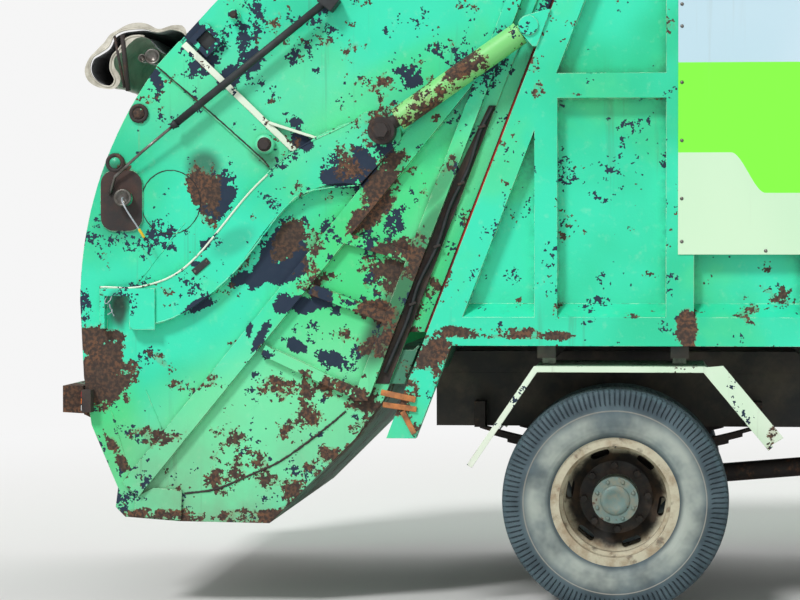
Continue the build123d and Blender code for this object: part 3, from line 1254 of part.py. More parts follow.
# Cab
def cab_profile():
    """Side view of the cab."""
    length, drop = ROOF_CUT
    return outline((CAB_REAR_X, CAB_BOTTOM_Z), (CAB_REAR_X, CAB_TOP_Z - drop),
                   (CAB_REAR_X + length, CAB_TOP_Z),
                   (CAB_FRONT_X - BROW, CAB_TOP_Z), *CAB_WINDSCREEN, (CAB_FRONT_X, CAB_WAIST_Z),
                   (CAB_FRONT_X, CAB_BOTTOM_Z))


def cab_plan(inset):
    """Plan view of the cab with round front corners."""
    length = CAB_FRONT_X - CAB_REAR_X - 2 * inset
    plan = Pos((CAB_FRONT_X + CAB_REAR_X) / 2, 0) * Rectangle(length, 2 * (CAB_Y - inset))
    return fillet(plan.vertices().sort_by(Axis.X)[-2:], CAB_CORNER_R - inset)


def cab_body(inset):
    """The cab's closed form, made smaller by an inset on every side."""
    profile = cab_profile()
    if inset:
        profile = offset(profile, amount=-inset, kind=Kind.INTERSECTION)
    side = side_solid(profile, (inset - CAB_Y, CAB_Y - inset))
    return side & extrude(cab_plan(inset), amount=BEYOND, dir=(0, 0, 1))


def door_prism(gap):
    """The left door's space, narrowed by a gap, with its front edge along the screen above the waist."""
    (low_x, high_x), (low_z, high_z) = DOOR_X, DOOR_Z
    low_x, high_x, low_z, high_z = low_x + gap, high_x - gap, low_z + gap, high_z - gap
    (top_x, top_z), (foot_x, foot_z) = CAB_WINDSCREEN
    slope = (foot_x - top_x) / (foot_z - top_z)
    sketch = outline((low_x, low_z), (high_x, low_z), (high_x, DOOR_LEAN_Z),
                     (high_x + slope * (high_z - DOOR_LEAN_Z), high_z), (low_x, high_z))
    return side_solid(sketch, around(CAB_Y, 2 * CAB_WALL))


def hinge_axis_y():
    """Y of the left door's hinge line, just outside the door's skin."""
    return CAB_Y + HINGE_BARREL_R + PIN_GAP


def on_hinge(z):
    """A place on the left door's hinge line."""
    return Pos(DOOR_X[1], hinge_axis_y(), z)


def hinge_barrel(z, bore):
    """An upright barrel on the left door's hinge line, with a bore if it has a radius."""
    barrel = Cylinder(HINGE_BARREL_R, HINGE_BARREL)
    if bore:
        barrel = barrel - Cylinder(bore, HINGE_BARREL + 2)
    return on_hinge(z) * barrel


def hinge_leaf(x_range, z):
    """The flat leaf of a hinge barrel."""
    return block(x_range, (CAB_Y, CAB_Y + HINGE_LEAF), around(z, HINGE_BARREL / 2))


def door_window():
    """The window opening of the left door, in X and Z."""
    rear, front, top = DOOR_X[0] + DOOR_FRAME, DOOR_X[1] - DOOR_FRAME, DOOR_Z[1] - DOOR_FRAME
    return outline((rear, DOOR_SILL_Z), (front, DOOR_SILL_Z), (front - DOOR_PILLAR, top), (rear, top))


def windscreen_plane():
    """The plane of the windscreen's outer face, with Y to its right, and its length up the slope."""
    (x0, z0), (x1, z1) = CAB_WINDSCREEN
    length = hypot(x1 - x0, z1 - z0)
    normal = ((z0 - z1) / length, 0, (x1 - x0) / length)
    return Plane(origin=((x0 + x1) / 2, 0, (z0 + z1) / 2), x_dir=(0, 1, 0), z_dir=normal), length


def pane_shapes(margin):
    """Outlines of the windscreen and the rear window, made smaller by a margin."""
    length = windscreen_plane()[1] - SCREEN_MARGIN
    screen = RectangleRounded(SCREEN_WIDTH - 2 * margin, length - 2 * margin, SCREEN_CORNER_R - margin)
    rear = RectangleRounded(REAR_WINDOW[0] - 2 * margin, REAR_WINDOW[1] - 2 * margin, REAR_WINDOW_R - margin)
    return screen, rear


def cab_steps():
    """Left step box in front of the wheel, with its tread cut in, and the skirt across the front."""
    step = block(STEP_X, (STEP_INNER_Y, CAB_Y), (STEP_Z, CAB_BOTTOM_Z))
    tread = block((STEP_X[0] + TREAD_X[0], STEP_X[1] - TREAD_X[1]), (CAB_Y - TREAD_DEPTH, CAB_Y + 1),
                  (STEP_Z + TREAD_Z[0], CAB_BOTTOM_Z - TREAD_Z[1]))
    corner = step.edges().filter_by(Axis.Z).sort_by(Axis.X)[-2:].sort_by(Axis.Y)[-1:]
    step = fillet(corner, STEP_CORNER_R) - tread
    skirt = extrude(cab_plan(0) - cab_plan(CAB_WALL), amount=CAB_BOTTOM_Z, dir=(0, 0, 1))
    skirt_x = (STEP_X[1] - SKIRT_REACH, CAB_FRONT_X + 1)
    skirt = skirt & block(skirt_x, (-CAB_Y, CAB_Y), (SKIRT_Z, CAB_BOTTOM_Z))
    return [step, other_side(step), skirt]


def door_post_hinges():
    """The cab's halves of the left door's hinges, with their pins."""
    reach = HINGE_BARREL + PIN_GAP
    pieces = []
    for z in DOOR_HINGE_Z:
        pieces.append(on_hinge(z) * Cylinder(HINGE_WIRE_R, 3 * HINGE_BARREL))
        for level in (z - reach, z + reach):
            pieces.append(hinge_barrel(level, 0))
            pieces.append(hinge_leaf((DOOR_X[1], DOOR_X[1] + POST_LEAF_LENGTH), level))
    return pieces


def tilt_ear():
    """Left ear under the cab for the tilt pin."""
    x_range = around(TILT_X, TILT_EAR_R)
    rear, front = x_range
    web = outline((rear, TILT_Z), (front, TILT_Z), (front, CAB_BOTTOM_Z), (rear, CAB_BOTTOM_Z))
    ear = side_solid(web + Pos(TILT_X, TILT_Z) * Circle(TILT_EAR_R), TILT_EAR_Y)
    return ear - pin_y(TILT_X, TILT_Z, TILT_PIN_R + PIN_GAP, (TILT_EAR_Y[0] - 1, TILT_EAR_Y[1] + 1))


def cab_shell():
    """Hollow cab with its door ways, windscreen, rear window, steps, hinges and tilt ears."""
    door = door_prism(0)
    screen, rear = pane_shapes(0)
    shell = cab_body(0) - cab_body(CAB_WALL) - door - other_side(door)
    shell = shell - extrude(windscreen_plane()[0] * screen, amount=4 * CAB_WALL, both=True)
    shell = shell - extrude(cross_plane(CAB_REAR_X, REAR_WINDOW_Z) * rear, amount=2 * CAB_WALL, both=True)
    pieces = [shell, *cab_steps()]
    for piece in [*door_post_hinges(), tilt_ear()]:
        pieces += [piece, other_side(piece)]
    return fuse(pieces)


def cab_mounts():
    """Front tilt pins on the rails and rubber-faced rests behind the cab."""
    rear = RAIL_FRONT_X - 90
    plate = outline((rear, RAIL_BOTTOM_Z + 10), (rear, RAIL_TOP_Z - 90), (TILT_X + 30, TILT_Z + 40),
                    (TILT_X + 40, TILT_Z - 45))
    plate = side_solid(plate, (RAIL_OUTER_Y, RAIL_OUTER_Y + MOUNT_PLATE))
    pin = pin_y(TILT_X, TILT_Z, TILT_PIN_R, (RAIL_OUTER_Y + MOUNT_PLATE - 2, TILT_EAR_Y[1] + 6))
    rest = block(REST_X, (RAIL_INNER_Y, RAIL_OUTER_Y), (RAIL_TOP_Z, CAB_BOTTOM_Z - SEAT_GAP))
    return together(both_sides(plate + pin), both_sides(rest))


def cab_glass():
    """Windscreen and rear window, set in their openings."""
    screen, rear = pane_shapes(SEAT_GAP)
    front_pane = extrude(windscreen_plane()[0].offset(-SCREEN_DEPTH) * screen, amount=GLASS)
    rear_pane = extrude(cross_plane(CAB_REAR_X + REAR_WINDOW_DEPTH, REAR_WINDOW_Z) * rear, amount=GLASS)
    return together(front_pane, rear_pane)


def cab_door():
    """Left door, as thick as the cab's wall, with its window cut and its halves of the hinges."""
    wall = (cab_body(0) - cab_body(CAB_WALL)) & door_prism(DOOR_GAP)
    door = wall - side_solid(door_window(), around(CAB_Y, 4 * CAB_WALL))
    bore = HINGE_WIRE_R + PIN_GAP
    for z in DOOR_HINGE_Z:
        leaf = hinge_leaf((DOOR_X[1] - DOOR_LEAF_LENGTH, DOOR_X[1]), z)
        door = door + (leaf - on_hinge(z) * Cylinder(bore, HINGE_BARREL + 2)) + hinge_barrel(z, bore)
    return door


def door_glass():
    """The left door's window."""
    pane = offset(door_window(), amount=-SEAT_GAP, kind=Kind.INTERSECTION)
    return side_solid(pane, (CAB_Y - DOOR_GLASS_DEPTH, CAB_Y - DOOR_GLASS_DEPTH + GLASS))


def cab_seats():
    """Driver's and passenger seats with bases on the cab floor."""
    rear, front = SEAT_X
    cushion_z = CAB_FLOOR_Z + SEAT_BASE_HEIGHT
    seats = []
    for sign in (-1, 1):
        y = sign * SEAT_Y
        inset_x, inset_y = SEAT_BASE_INSET
        base = block((rear + inset_x, front - inset_x), around(y, SEAT_HALF - inset_y), (CAB_FLOOR_Z, cushion_z))
        cushion = block(SEAT_X, around(y, SEAT_HALF), (cushion_z, cushion_z + SEAT_CUSHION))
        foot = (rear + SEAT_BACK_FOOT[0], cushion_z + SEAT_BACK_FOOT[1])
        head = (foot[0] - SEAT_BACK_LEAN, foot[1] + SEAT_BACK)
        back = slanted_bar(foot, head, SEAT_CUSHION - 10)
        seats.append(fuse([base, cushion, side_solid(back, around(y, SEAT_HALF - 10))]))
    return together(*seats)


def dashboard():
    """Dashboard with the steering column and wheel on the left."""
    wall_x = CAB_FRONT_X - CAB_WALL
    line = [(wall_x + x, z) for x, z in DASH_LINE]
    profile = outline((line[0][0], CAB_FLOOR_Z), *line, (line[-1][0], CAB_FLOOR_Z))
    half = CAB_Y - CAB_WALL - DASH_SIDE_GAP
    centre = (STEER_WHEEL_X, SEAT_Y, STEER_WHEEL_Z)
    foot = (STEER_WHEEL_X + STEER_COLUMN[0], SEAT_Y, STEER_WHEEL_Z - STEER_COLUMN[1])
    lean = Plane(origin=centre, z_dir=tuple(c - f for c, f in zip(centre, foot)))
    rim = Circle(STEER_WHEEL_R) - Circle(STEER_WHEEL_R - STEER_TUBE)
    ring = extrude(lean * rim, amount=STEER_TUBE, both=True)
    spokes = extrude(lean * (Rectangle(2 * STEER_WHEEL_R - STEER_TUBE, 40) + Circle(60)), amount=9, both=True)
    return fuse([side_solid(profile, (-half, half)), rod(foot, centre, STEER_COLUMN_R), ring, spokes])


def mirrors():
    """Door mirrors on bent arms from the cab's front corners."""
    tip_y = CAB_Y + MIRROR_OUT
    half_x, half_z = MIRROR_FOOT_HALF
    foot_y = CAB_Y + 2 * RUN_GAP
    bend_y = foot_y + MIRROR_TUBE_R
    pieces = []
    for x, z, tip_z in MIRROR_ARMS:
        pieces.append(block(around(x, half_x), (CAB_Y, foot_y), around(z, half_z)))
        pieces.append(pin_y(x, z, MIRROR_TUBE_R, (foot_y - 1, bend_y + 2)))
        pieces.append(rod((x, bend_y, z), (MIRROR_X, tip_y, tip_z), MIRROR_TUBE_R))
    low, high = MIRROR_TUBE_Z
    pieces.append(rod((MIRROR_X, tip_y, low), (MIRROR_X, tip_y, high), MIRROR_TUBE_R))
    head_x = [MIRROR_X + reach for reach in MIRROR_HEAD_X]
    head = block(head_x, around(tip_y, MIRROR_HEAD_HALF), MIRROR_HEAD_Z)
    pieces.append(fillet(head.edges().filter_by(Axis.X), MIRROR_CORNER_R))
    return both_sides(fuse(pieces))


def grille():
    """Slatted grille on the cab's front."""
    pieces = [block((CAB_FRONT_X, CAB_FRONT_X + GRILLE_BACK), around(0, GRILLE_HALF), GRILLE_Z)]
    for index in range(SLATS):
        level = GRILLE_Z[0] + index * SLAT_PITCH
        slat = outline(*[(CAB_FRONT_X + x, level + z) for x, z in SLAT_LINE])
        pieces.append(side_solid(slat, around(0, GRILLE_HALF - 2 * RUN_GAP)))
    return fuse(pieces)


def front_bumper():
    """Hollow bumper with lamp pockets, on plates from the rails."""
    plan = Pos(FRONT_X - BUMPER_DEPTH / 2, 0) * Rectangle(BUMPER_DEPTH, 2 * CAB_Y)
    plan = fillet(plan.vertices().sort_by(Axis.X)[-2:], BUMPER_CORNER_R)
    inner = offset(plan, amount=-BUMPER_WALL, kind=Kind.INTERSECTION)
    skin = plan - Pos(-BUMPER_LIP - BUMPER_WALL, 0) * inner
    low, high = BUMPER_Z
    shell = Pos(0, 0, low) * extrude(skin, amount=high - low)
    depth, side_width = BUMPER_OPEN
    back = (FRONT_X - 2 * BUMPER_DEPTH, FRONT_X - depth)
    shell = shell - block(back, around(0, CAB_Y - side_width), (low - 1, high + 1))
    for sign in (-1, 1):
        pocket_y = around(sign * LAMP_Y, LAMP_HALF)
        shell = shell - block((FRONT_X - LAMP_POCKET, FRONT_X + 1), pocket_y, HEADLAMP_Z)
    for sign in (-1, 1):
        arm_y = on_side(sign, RAIL_INNER_Y, RAIL_OUTER_Y)
        arm = block((RAIL_FRONT_X, FRONT_X - BUMPER_WALL + 1), arm_y, (high - BUMPER_ARM, high))
        shell = shell + arm + block((RAIL_FRONT_X, RAIL_FRONT_X + BUMPER_HOOK), arm_y, (high, RAIL_TOP_Z))
    return shell


def headlamps():
    """Lamps in the bumper's pockets."""
    half = LAMP_HALF - SEAT_GAP
    z_range = (HEADLAMP_Z[0] + SEAT_GAP, HEADLAMP_Z[1] - SEAT_GAP)
    lamp = block((FRONT_X - LAMP_POCKET + SEAT_GAP, FRONT_X - RUN_GAP), around(LAMP_Y, half), z_range)
    return both_sides(fillet(lamp.edges().filter_by(Axis.X), LAMP_CORNER_R))


def nodes():
    """Every node of the truck by name."""
    rear_tyres, rear_rims = rear_wheel_nodes()
    front_tyre, front_rim = front_wheel_nodes()
    made = {
        "chassis_rails": chassis_rails(),
        "cross_members": cross_members(),
        "subframe": subframe(),
        "rear_springs": rear_springs(),
        "front_springs": front_springs(),
        "rear_axle": rear_axle(),
        "front_axle": front_axle(),
        "engine_block": engine_block(),
        "side_tanks": side_tanks(),
        "side_guards": side_guards(),
        "exhaust": exhaust(),
        "rear_mudguards": rear_mudguards(),
        "front_mudguards": front_mudguards(),
        "front_bumper": front_bumper(),
        "headlamps": headlamps(),
        "container_roof": container_roof(),
        "container_floor": container_floor(),
        "container_front": container_front(),
        "sign_panels": sign_panels(),
        "cab_mounts": cab_mounts(),
        "cab_shell": cab_shell(),
        "cab_glass": cab_glass(),
        "cab_seats": cab_seats(),
        "dashboard": dashboard(),
        "mirrors": mirrors(),
        "grille": grille(),
        "tailgate_skin": gate_skin(),
        "hopper_tub": hopper_tub(),
        "tailgate_seal": gate_seal(),
        "rear_canvas": rear_canvas(),
        "rear_lamps": rear_lamps(),
        "lamp_wire": lamp_wire(),
        "carriage": carriage(),
        "packer_blade": packer_blade(),
        "ejector_panel": ejector(),
        "lift_barrels": both_sides(lift_barrel()),
        "lift_rods": both_sides(lift_rod()),
    }
    paired = {
        "container_side": container_side(),
        "door": cab_door(),
        "door_glass": door_glass(),
        "tailgate_side": gate_side(),
        "knuckle": knuckle(),
        "front_tyre": front_tyre,
        "front_rim": front_rim,
        "rear_tyres": rear_tyres,
        "rear_rims": rear_rims,
    }
    for name, left in paired.items():
        made[name + "_left"] = left
        made[name + "_right"] = other_side(left)
    return made


def main():
    os.makedirs("parts", exist_ok=True)
    for name, shape in nodes().items():
        export_step(Pos(REAR_AXLE_X, 0, 0) * shape, f"parts/{name}.step")


main()
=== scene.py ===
# Dresses the garbage truck: finishes, tyres, welds, fittings, canvas, light and camera.
# Lengths in the tables are millimetres measured from the rear axle: X forward, Y to the left, Z up.
import math
import random

import bmesh
import bpy
from mathutils import Matrix, Vector, noise


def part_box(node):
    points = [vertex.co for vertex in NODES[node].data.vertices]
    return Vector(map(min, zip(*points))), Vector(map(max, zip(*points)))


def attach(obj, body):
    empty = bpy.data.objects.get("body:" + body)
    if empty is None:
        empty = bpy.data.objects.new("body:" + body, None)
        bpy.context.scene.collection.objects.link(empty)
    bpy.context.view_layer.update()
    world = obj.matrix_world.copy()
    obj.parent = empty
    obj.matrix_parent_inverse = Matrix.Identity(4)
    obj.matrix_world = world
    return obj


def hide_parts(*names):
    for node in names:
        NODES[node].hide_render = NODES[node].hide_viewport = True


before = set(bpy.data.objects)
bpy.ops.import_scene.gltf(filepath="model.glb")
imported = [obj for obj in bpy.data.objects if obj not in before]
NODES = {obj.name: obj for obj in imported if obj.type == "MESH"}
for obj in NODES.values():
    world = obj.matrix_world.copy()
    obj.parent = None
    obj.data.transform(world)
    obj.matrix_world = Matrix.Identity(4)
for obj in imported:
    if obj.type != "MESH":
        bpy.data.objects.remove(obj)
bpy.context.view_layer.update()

# Places that the frame gives
rim_low, rim_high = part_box("rear_rims_right")
front_low, front_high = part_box("front_rim_right")
AXLE_X = (rim_low.x + rim_high.x) / 2
AXLE_Z = (rim_low.z + rim_high.z) / 2
FRONT_AXLE_X = (front_low.x + front_high.x) / 2


def at(x, y, z):
    """A point of the tables as a place in the frame."""
    return Vector((AXLE_X + x / 1000, y / 1000, z / 1000))


def srgb(red, green, blue):
    """A colour given as 0 to 255, as a linear colour."""
    def linear(value):
        value /= 255
        return value / 12.92 if value <= 0.04045 else ((value + 0.055) / 1.055) ** 2.4
    return (linear(red), linear(green), linear(blue), 1.0)


# Colours, 0 to 255
TURQUOISE = (52, 228, 184)
TURQUOISE_DEEP = (38, 204, 152)
LEAF_GREEN = (76, 218, 112)
PALE_GREEN = (122, 230, 168)
OLIVE = (150, 146, 84)
PRIMER = (26, 44, 66)
RUST_DARK = (56, 44, 38)
RUST_MID = (86, 64, 50)
RUST_ORANGE = (132, 86, 56)
CREAM = (226, 240, 208)
# This dark colour paints soot spots, and also painted shade where faces meet and a painted shadow along the
# tailgate's joint with the body.
SOOT_AND_SHADE = (34, 40, 36)
ROAD_DUST = (128, 130, 110)

# How much a difference in Y counts beside one in X or Z when a painted spot is placed
SIDE_WEIGHT = 0.3
FLAKES_PER_METRE = 165.0


# Material building
class Finish:
    """A material under construction, or the surrounding, with short calls for its nodes."""

    def __init__(self, name, world=None):
        self.material = world or bpy.data.materials.new(name)
        self.material.use_nodes = True
        self.tree = self.material.node_tree
        self.shader = self.tree.nodes.get("Principled BSDF")
        self.place = self.node("TexCoord").outputs["Object"]
        self.frames = {}

    def node(self, kind, inputs=None, **settings):
        """A new node with its settings and with its inputs by name or number."""
        made = self.tree.nodes.new("ShaderNode" + kind)
        for key, value in settings.items():
            setattr(made, key, value)
        for key, value in (inputs or {}).items():
            self.put(made.inputs[key], value)
        return made

    def put(self, socket, value):
        """Links a value or sets it. A colour is set from 0 to 255."""
        if isinstance(value, bpy.types.NodeSocket):
            self.tree.links.new(value, socket)
        else:
            socket.default_value = srgb(*value) if socket.type == "RGBA" else value

    def math(self, operation, a, b=0.0, clamp=False):
        return self.node("Math", {0: a, 1: b}, operation=operation, use_clamp=clamp).outputs[0]

    def times(self, a, b):
        return self.math("MULTIPLY", a, b)

    def plus(self, a, b, clamp=False):
        return self.math("ADD", a, b, clamp)

    def most(self, a, b):
        return self.math("MAXIMUM", a, b)

    def vector(self, operation, a, b=(0, 0, 0)):
        made = self.node("VectorMath", {0: a, 1: b}, operation=operation)
        return made.outputs["Value" if operation in ("LENGTH", "DISTANCE", "DOT_PRODUCT") else 0]

    def step(self, value, low, high, low_out=0.0, high_out=1.0):
        """A soft step from low to high."""
        inputs = dict(enumerate((value, low, high, low_out, high_out)))
        return self.node("MapRange", inputs, interpolation_type="SMOOTHSTEP").outputs["Result"]

    def mix(self, a, b, factor, amount=None):
        """Colour a going over to b by a factor, which is multiplied by the amount where one is given."""
        if amount is not None:
            factor = self.times(factor, amount)
        return self.node("Mix", {0: factor, 6: a, 7: b}, data_type="RGBA").outputs[2]

    def noise(self, scale, detail=3.0, roughness=0.55, place=None, output=0):
        place = self.place if place is None else place
        inputs = {"Vector": place, "Scale": scale, "Detail": detail, "Roughness": roughness}
        return self.node("TexNoise", inputs).outputs[output]

    def spots(self, low, high, *settings, place=None):
        """Noise cut to soft spots between two of its levels."""
        return self.step(self.noise(*settings, place=place), low, high)

    def hollows(self, reach, low, high):
        """A soft step between two shares of open space round a point."""
        open_share = self.node("AmbientOcclusion", {"Distance": reach}, samples=4).outputs["AO"]
        return self.step(open_share, low, high)

    def stretched(self, scales):
        """The place multiplied axis by axis, for streaks."""
        return self.vector("MULTIPLY", self.place, scales)

    def axis(self, index):
        return self.node("SeparateXYZ", {0: self.place}).outputs[index]

    def flakes(self, scale):
        """The place snapped to small uneven cells, so that an edge read there looks flaked."""
        shake = self.vector("MULTIPLY", self.noise(scale * 0.6, 2.0, output=1), (0.9 / scale,) * 3)
        cells = {"Vector": self.vector("ADD", self.place, shake), "Scale": scale}
        return self.node("TexVoronoi", cells, feature="F1").outputs["Position"]

    def leaning(self, place, turn, ratio):
        """The place turned in X and Z and squeezed along its turned X, once for all spots that lean alike."""
        key = (place, turn, ratio)
        if key not in self.frames:
            inputs = {"Vector": place, "Rotation": (0, -math.radians(turn), 0)}
            inputs["Scale"] = (ratio, 1 / SIDE_WEIGHT, 1)
            self.frames[key] = self.node("Mapping", inputs, vector_type="TEXTURE").outputs[0]
        return self.frames[key]

    def patches(self, table, place):
        """The strongest of soft spots given by X, Z, half width, half height, turn, strength and Y."""
        field = 0.0
        for x, z, wide, high, turn, strength, y in table:
            if wide < high:
                wide, high, turn = high, wide, turn + 90
            ratio = 2 ** round(math.log2(wide / high))
            turn = round(turn / 30) * 30 % 180 if ratio > 1 else 0
            centre = Matrix.Rotation(math.radians(turn), 3, "Y") @ at(x, y, z)
            centre = Vector((centre.x / ratio, centre.y * SIDE_WEIGHT, centre.z))
            reach = math.sqrt(wide * high / ratio) / 1000
            away = self.vector("DISTANCE", self.leaning(place, turn, ratio), centre)
            field = self.most(self.step(away, reach * 1.45, reach * 0.55, 0.0, strength), field)
        return field

    def bump(self, height, strength, distance, normal=None):
        inputs = {"Strength": strength, "Distance": distance, "Height": height}
        if normal is not None:
            inputs["Normal"] = normal
        return self.node("Bump", inputs).outputs[0]

    def rounded(self, radius=0.004):
        return self.node("Bevel", {"Radius": radius}, samples=4).outputs[0]

    def edge(self, rounded):
        """1 along sharp edges and 0 on flats."""
        flat = self.node("NewGeometry").outputs["Normal"]
        return self.step(self.vector("DOT_PRODUCT", flat, rounded), 0.995, 0.9)

    def done(self, colour, roughness, normal=None, others=None):
        """The finished material, with other inputs of its shader where they are given."""
        inputs = {"Base Color": colour, "Roughness": roughness, **(others or {})}
        if normal is not None:
            inputs["Normal"] = normal
        for key, value in inputs.items():
            self.put(self.shader.inputs[key], value)
        return self.material


def rust_colour(f):
    """Brown rust with darker and more orange spots."""
    fine = f.spots(0.42, 0.62, 60.0)
    brown = f.mix(RUST_DARK, RUST_MID, fine)
    return f.mix(brown, RUST_ORANGE, f.times(f.spots(0.4, 0.62, 9.0, 4.0), fine), 0.5)


def worn_paint_with_painted_light(name, colours, primer=(), rust=(), tints=(), chips=0.08, rusting=0.12, gloss=0.38,
               low_dirt=0.5):
    """Old paint: colour drift, flakes down to primer and rust, streaks, dirt with painted shade in corners,
    bare edges and cream edges that are partly a painted highlight.
    """
    f = Finish(name)
    base, second, third = colours
    rounded = f.rounded()
    edge = f.edge(rounded)
    paint = f.mix(base, second, f.spots(0.4, 0.65, 1.1))
    paint = f.mix(paint, third, f.spots(0.5, 0.72, 2.3, 4.0), 0.55)
    for colour, table in tints:
        paint = f.mix(paint, colour, f.patches(table, f.place))
    cloud = f.noise(26.0, 4.0, 0.6)
    paint = f.mix(paint, CREAM, f.step(cloud, 0.56, 0.78), 0.10)
    # Streaks that run down
    runs = f.spots(0.58, 0.8, 1.0, 3.0, 0.6, place=f.stretched((26.0, 26.0, 1.1)))
    paint = f.mix(paint, RUST_MID, f.times(runs, f.spots(0.45, 0.65, 1.7, 2.0)), 0.45)
    paint = f.mix(paint, SOOT_AND_SHADE, f.spots(0.6, 0.85, 5.0, 5.0, 0.7), 0.18)
    # Grime and painted shade where faces meet, and road dirt low down
    darkening = f.times(f.hollows(0.09, 0.72, 0.25), f.spots(0.33, 0.6, 14.0, 4.0, 0.7))
    paint = f.mix(paint, SOOT_AND_SHADE, darkening, 0.62)
    low = f.step(f.axis(2), 1.1, 0.35)
    paint = f.mix(paint, ROAD_DUST, f.times(low, f.spots(0.3, 0.7, 3.3, 4.0)), low_dirt)
    # Flakes: each spot is bare where its strength beats the noise read at the flake's own place
    flake = f.flakes(FLAKES_PER_METRE)
    small = f.step(f.noise(52.0, 3.0, 0.6, flake), 0.35, 0.65, -1.0, 1.0)
    chance = f.spots(0.28, 0.72, 7.5, 4.0, 0.62, place=flake)
    field = f.times(f.spots(0.42, 0.7, 1.6), chips)
    if primer:
        field = f.most(f.patches(primer, flake), field)
    field = f.plus(field, f.times(edge, 0.12))
    bare = f.math("GREATER_THAN", field, f.plus(chance, f.times(small, 0.22)))
    chance = f.spots(0.28, 0.72, 6.3, 4.0, 0.66, place=f.vector("ADD", flake, (3.1, 1.7, 5.3)))
    field = f.times(f.spots(0.45, 0.7, 1.3, place=f.vector("ADD", f.place, (7, 3, 1))), rusting)
    field = f.plus(field, f.times(low, 0.12))
    if rust:
        field = f.most(f.patches(rust, flake), field)
    field = f.plus(field, f.times(edge, 0.16))
    rusty = f.math("GREATER_THAN", field, f.plus(chance, f.times(small, 0.16)))
    # Orange round the rust, cream along the edges that is partly worn paint and partly a painted highlight,
    # then primer and rust themselves
    halo = f.step(f.math("SUBTRACT", field, chance), -0.07, 0.0)
    colour = f.mix(paint, RUST_ORANGE, halo, 0.3)
    colour = f.mix(colour, CREAM, f.times(edge, f.spots(0.40, 0.55, 11.0)), 0.75)
    colour = f.mix(colour, PRIMER, bare)
    colour = f.mix(colour, rust_colour(f), rusty)
    rough = f.plus(f.times(f.most(bare, rusty), 0.4), f.times(cloud, 0.22))
    height = f.plus(f.times(f.noise(2.1, 2.0), 6.0), f.noise(90.0))
    return f.done(colour, f.plus(rough, gloss - 0.1, clamp=True), f.bump(height, 0.5, 0.0012, rounded))


def plain(name, colour, second, roughness, scale=30.0, metallic=0.0, bump=0.0, grain=90.0, dirt=0.0):
    """A simple finish of two mixed colours, with grain, eased edges and a little dirt."""
    f = Finish(name)
    mixed = f.mix(colour, second, f.spots(0.35, 0.68, scale, 4.0, 0.6))
    if dirt:
        mixed = f.mix(mixed, (120, 108, 90), f.spots(0.42, 0.7, 4.0, 5.0, 0.65), dirt)
    rough = f.plus(f.times(f.noise(scale * 2), 0.25), roughness - 0.12, clamp=True)
    normal = f.bump(f.noise(grain, 4.0, 0.6), bump, 0.001, f.rounded(0.003))
    return f.done(mixed, rough, normal, {"Metallic": metallic})


def rusty_steel():
    """Bare dark steel with a skin of rust."""
    f = Finish("rusty_steel")
    colour = f.mix((52, 46, 44), rust_colour(f), f.spots(0.47, 0.7, 13.0, 5.0, 0.7))
    rough = f.plus(f.times(f.noise(40.0), 0.3), 0.55, clamp=True)
    normal = f.bump(f.noise(150.0, 4.0), 0.5, 0.001, f.rounded(0.003))
    return f.done(colour, rough, normal, {"Metallic": 0.2})


def glass(name, tint):
    """Clear glass, faintly smeared."""
    f = Finish(name)
    normal = f.bump(f.step(f.noise(3.0, 4.0), 0.5, 0.75, 0.0, 0.06), 0.05, 0.001)
    return f.done(tint, 0.03, normal, {"IOR": 1.45, "Alpha": 0.34, "Coat Weight": 0.6})


# Bare, rusty and tinted places of the right side, read off the photograph, at this Y. Each spot is
# X, Z, half width, half height, turn in degrees and strength.
RIGHT = -1075.0
PRIMER_SPOTS = (
    (-1629, 2441, 60, 70, 0, 0.72), (-1798, 2470, 60, 120, -40, 0.85), (-1868, 2574, 70, 55, 0, 0.7),
    (-1718, 2374, 80, 45, 30, 0.85), (-2037, 2370, 35, 55, 20, 0.9), (-1209, 1925, 100, 42, 8, 0.98),
    (-1089, 1955, 62, 105, 20, 0.98), (-1012, 2070, 60, 60, 0, 0.8), (-1032, 1799, 40, 50, 0, 0.75),
    (-1426, 2184, 75, 30, -20, 0.8), (-1386, 2087, 55, 36, -25, 0.9), (-1540, 1560, 50, 150, -38, 1.1),
    (-1440, 1520, 90, 60, 30, 1.0), (-1408, 1610, 60, 60, 0, 0.9), (-1674, 1470, 60, 34, 30, 0.95),
    (-1824, 1631, 36, 34, 0, 0.95), (-1845, 1361, 75, 26, 25, 1.0), (-1851, 1547, 30, 20, 0, 0.9),
    (-1328, 2397, 40, 24, 20, 0.7), (-886, 2352, 60, 26, 15, 0.95), (-912, 2395, 60, 36, 0, 0.65),
    (-1300, 1400, 60, 46, 20, 0.95), (-1395, 1362, 90, 36, -10, 0.9), (-1462, 1366, 50, 50, 40, 0.95),
    (-1560, 1235, 22, 80, -40, 0.85), (-1420, 1180, 75, 30, -25, 0.85), (-1240, 1120, 60, 40, -30, 0.9),
    (-1230, 2010, 60, 26, 10, 0.6), (-1650, 2520, 40, 60, 0, 0.6), (-1770, 1380, 60, 14, 20, 0.8),
    (-1620, 1250, 20, 30, 0, 0.8), (-1545, 1135, 30, 22, 0, 0.7), (-980, 1690, 60, 90, 0, 0.55),
    (-1780, 1850, 110, 90, -30, 0.8), (-640, 1985, 26, 14, 0, 0.9), (-700, 1960, 20, 30, 0, 0.8),
    (-610, 2450, 30, 60, -20, 0.6),
)
